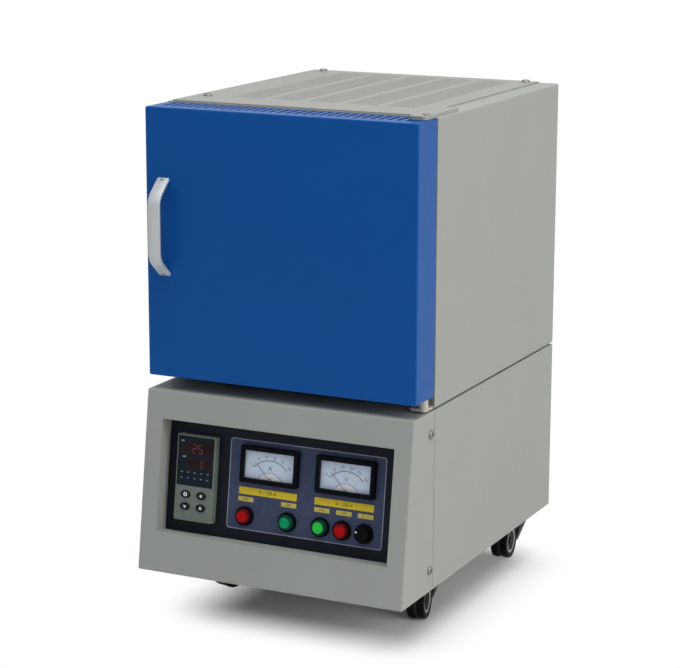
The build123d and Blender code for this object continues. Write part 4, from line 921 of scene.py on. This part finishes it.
castor = dict(radius=21 * mm, wide=8 * mm, web=1.5 * mm, gap=0.4 * mm, edge=1.2 * mm, rim=4.6 * mm,
              dish=1.5 * mm, hub=5 * mm, hubProud=0.4 * mm, hubTaper=0.85, ring=14.9 * mm,
              ringInner=11.9 * mm, ringThick=0.9 * mm, ringSoft=0.25 * mm, axle=2 * mm, axleLap=1 * mm)


def makeWheelDisc():
    disc = drum("wheelDisc", castor["radius"], castor["wide"], sides=64)
    roundEdges(disc, castor["edge"], 4, 50)
    flat = castor["radius"] - castor["edge"] - castor["rim"]
    pickFaces(disc, lambda centre, normal: normal.z > 0.99 and centre.z > castor["wide"] * 0.9)
    bpy.ops.mesh.inset(thickness=castor["rim"])
    bpy.ops.mesh.extrude_region_move(TRANSFORM_OT_translate={"value": (0, 0, -castor["dish"])})
    bpy.ops.mesh.inset(thickness=flat - castor["hub"])
    rise = castor["dish"] - castor["hubProud"]
    bpy.ops.mesh.extrude_region_move(TRANSFORM_OT_translate={"value": (0, 0, rise)})
    bpy.ops.transform.resize(value=(castor["hubTaper"], castor["hubTaper"], 1))
    leaveEdit()
    return disc


def makeRing():
    ring = drum("ring", castor["ring"], castor["ringThick"], base=castor["wide"] - castor["dish"], sides=64)
    pierce(ring, castor["ring"] - castor["ringInner"])
    return roundEdges(ring, castor["ringSoft"], 2, 50)


def makeCastors():
    disc = makeWheelDisc()
    ring = makeRing()
    inner = castor["web"] + castor["gap"]
    for joint in frame["joints"]:
        if not joint["name"].startswith("roll_"):
            continue
        corner = joint["name"][len("roll_"):]
        along = Vector(joint["axis"]).to_track_quat("Z", "Y").to_matrix().to_4x4()
        middle = Matrix.Translation(Vector(joint["pos_m"])) @ along
        outward = [middle @ Matrix.Rotation(math.pi * side, 4, "X") @ Matrix.Translation((0, 0, inner))
                   for side in (0, 1)]
        half = inner + castor["axleLap"]
        axle = settle(drum("axle", castor["axle"], 2 * half, base=-half, sides=20), middle)
        wheels = join([copied(disc, place) for place in outward] + [axle], f"wheelPair_{corner}")
        dressed(wheels, f"wheels_{corner}", finishes["tread"], [f"castor_wheels_{corner}"], 35)
        rings = join([copied(ring, place) for place in outward], f"wheelRings_{corner}")
        dressed(rings, f"wheels_{corner}", finishes["ring"], smooth=35)
    remove(disc)
    remove(ring)


makeCastors()
print("castors made")


# Camera, floor and light

# The focal length is in pixels of a picture that is 680 wide
view = dict(azimuth=25.97, elevation=12.76, roll=0.13, distance=2.59214, focal=2255.94, picture=680,
            sensor=36, clip=50, target=Vector((-24.3 * mm, bodyFront + 150 * mm, 290.38 * mm)))


def makeCamera():
    azimuth, elevation = math.radians(view["azimuth"]), math.radians(view["elevation"])
    back = Vector((math.sin(azimuth) * math.cos(elevation), -math.cos(azimuth) * math.cos(elevation),
                   math.sin(elevation)))
    right = Vector((math.cos(azimuth), math.sin(azimuth), 0))
    up = back.cross(right)
    roll = Matrix.Rotation(math.radians(view["roll"]), 4, "Z")
    turn = Matrix((right, up, back)).transposed().to_4x4() @ roll
    deselectAll()
    bpy.ops.object.camera_add()
    camera = bpy.context.object
    camera.name = "photoCamera"
    camera.data.lens = view["focal"] * view["sensor"] / view["picture"]
    camera.data.sensor_width = view["sensor"]
    camera.data.sensor_fit = "HORIZONTAL"
    camera.data.clip_end = view["clip"]
    camera.matrix_world = Matrix.Translation(view["target"] + back * view["distance"]) @ turn
    bpy.context.scene.camera = camera


floorLook = dict(size=30, tone=0.9, middle=(24 * mm, -10 * mm, 0), half=(89 * mm, 129 * mm, 1),
                 reach=107 * mm)


def backgroundRays(nodes, links):
    # Rays that see the white background: from the camera, off a gloss, or through glass
    path = nodes.new("ShaderNodeLightPath")
    anyOf = path.outputs["Is Camera Ray"]
    for kind in ("Is Glossy Ray", "Is Transmission Ray"):
        wider = nodes.new("ShaderNodeMath")
        wider.operation = "MAXIMUM"
        links.new(anyOf, wider.inputs[0])
        links.new(path.outputs[kind], wider.inputs[1])
        anyOf = wider.outputs[0]
    return anyOf


def makeFloor():
    # Below the furnace the floor is lit and shaded, and it goes to plain white outside its outline
    deselectAll()
    bpy.ops.mesh.primitive_plane_add(size=floorLook["size"])
    floor = named("floor")
    material = bpy.data.materials.new("floorWhite")
    material.use_nodes = True
    nodes, links = material.node_tree.nodes, material.node_tree.links
    nodes.clear()
    diffuse = nodes.new("ShaderNodeBsdfDiffuse")
    diffuse.inputs["Color"].default_value = (floorLook["tone"],) * 3 + (1,)
    glow = nodes.new("ShaderNodeEmission")
    coords = nodes.new("ShaderNodeTexCoord")
    offset = coords.outputs["Object"]
    # How far a place lies outside a rectangle round the middle
    for operation, operand in (("SUBTRACT", floorLook["middle"]), ("ABSOLUTE", None),
                               ("SUBTRACT", floorLook["half"]), ("MAXIMUM", (0, 0, 0)), ("LENGTH", None)):
        step = nodes.new("ShaderNodeVectorMath")
        step.operation = operation
        links.new(offset, step.inputs[0])
        if operand:
            step.inputs[1].default_value = operand
        offset = step.outputs["Value" if operation == "LENGTH" else "Vector"]
    spread = nodes.new("ShaderNodeMapRange")
    spread.interpolation_type = "SMOOTHSTEP"
    spread.inputs["From Max"].default_value = floorLook["reach"]
    links.new(offset, spread.inputs["Value"])
    share = nodes.new("ShaderNodeMath")
    share.operation = "MULTIPLY"
    blend = nodes.new("ShaderNodeMixShader")
    output = nodes.new("ShaderNodeOutputMaterial")
    links.new(backgroundRays(nodes, links), share.inputs[0])
    links.new(spread.outputs["Result"], share.inputs[1])
    links.new(share.outputs[0], blend.inputs["Fac"])
    links.new(diffuse.outputs[0], blend.inputs[1])
    links.new(glow.outputs[0], blend.inputs[2])
    links.new(blend.outputs[0], output.inputs["Surface"])
    floor.data.materials.append(material)


lamps = {
    "topLamp": dict(place=(0.3, -0.4, 2.6), aim=(0, 0, 0.4), size=2.2, power=48, tint=(1, 1, 1)),
    "rightLamp": dict(place=(2.6, -0.6, 1.3), aim=(0, 0, 0.35), size=1.8, power=31.5, tint=(1, 0.995, 0.985)),
    "leftLamp": dict(place=(-2.2, -2.2, 1.6), aim=(0, 0, 0.3), size=1.6, power=5, tint=(0.72, 0.93, 1.32)),
}
worldLook = dict(light=0.24, background=1.0)


def makeLights():
    for name, lamp in lamps.items():
        data = bpy.data.lights.new(name, "AREA")
        data.energy = lamp["power"]
        data.size = lamp["size"]
        data.color = lamp["tint"]
        light = bpy.data.objects.new(name, data)
        bpy.context.collection.objects.link(light)
        light.location = lamp["place"]
        aim = Vector(lamp["aim"]) - Vector(lamp["place"])
        light.rotation_euler = aim.to_track_quat("-Z", "Y").to_euler()
    world = bpy.data.worlds.new("studio")
    bpy.context.scene.world = world
    world.use_nodes = True
    nodes, links = world.node_tree.nodes, world.node_tree.links
    nodes.clear()
    dim = nodes.new("ShaderNodeBackground")
    dim.inputs["Strength"].default_value = worldLook["light"]
    bright = nodes.new("ShaderNodeBackground")
    bright.inputs["Strength"].default_value = worldLook["background"]
    blend = nodes.new("ShaderNodeMixShader")
    output = nodes.new("ShaderNodeOutputWorld")
    # The background rays see white; only the rest of the light is dim
    links.new(backgroundRays(nodes, links), blend.inputs["Fac"])
    links.new(dim.outputs[0], blend.inputs[1])
    links.new(bright.outputs[0], blend.inputs[2])
    links.new(blend.outputs[0], output.inputs["Surface"])


makeCamera()
makeFloor()
makeLights()
bpy.context.scene.view_settings.view_transform = "Standard"
print("camera, floor and lights set")
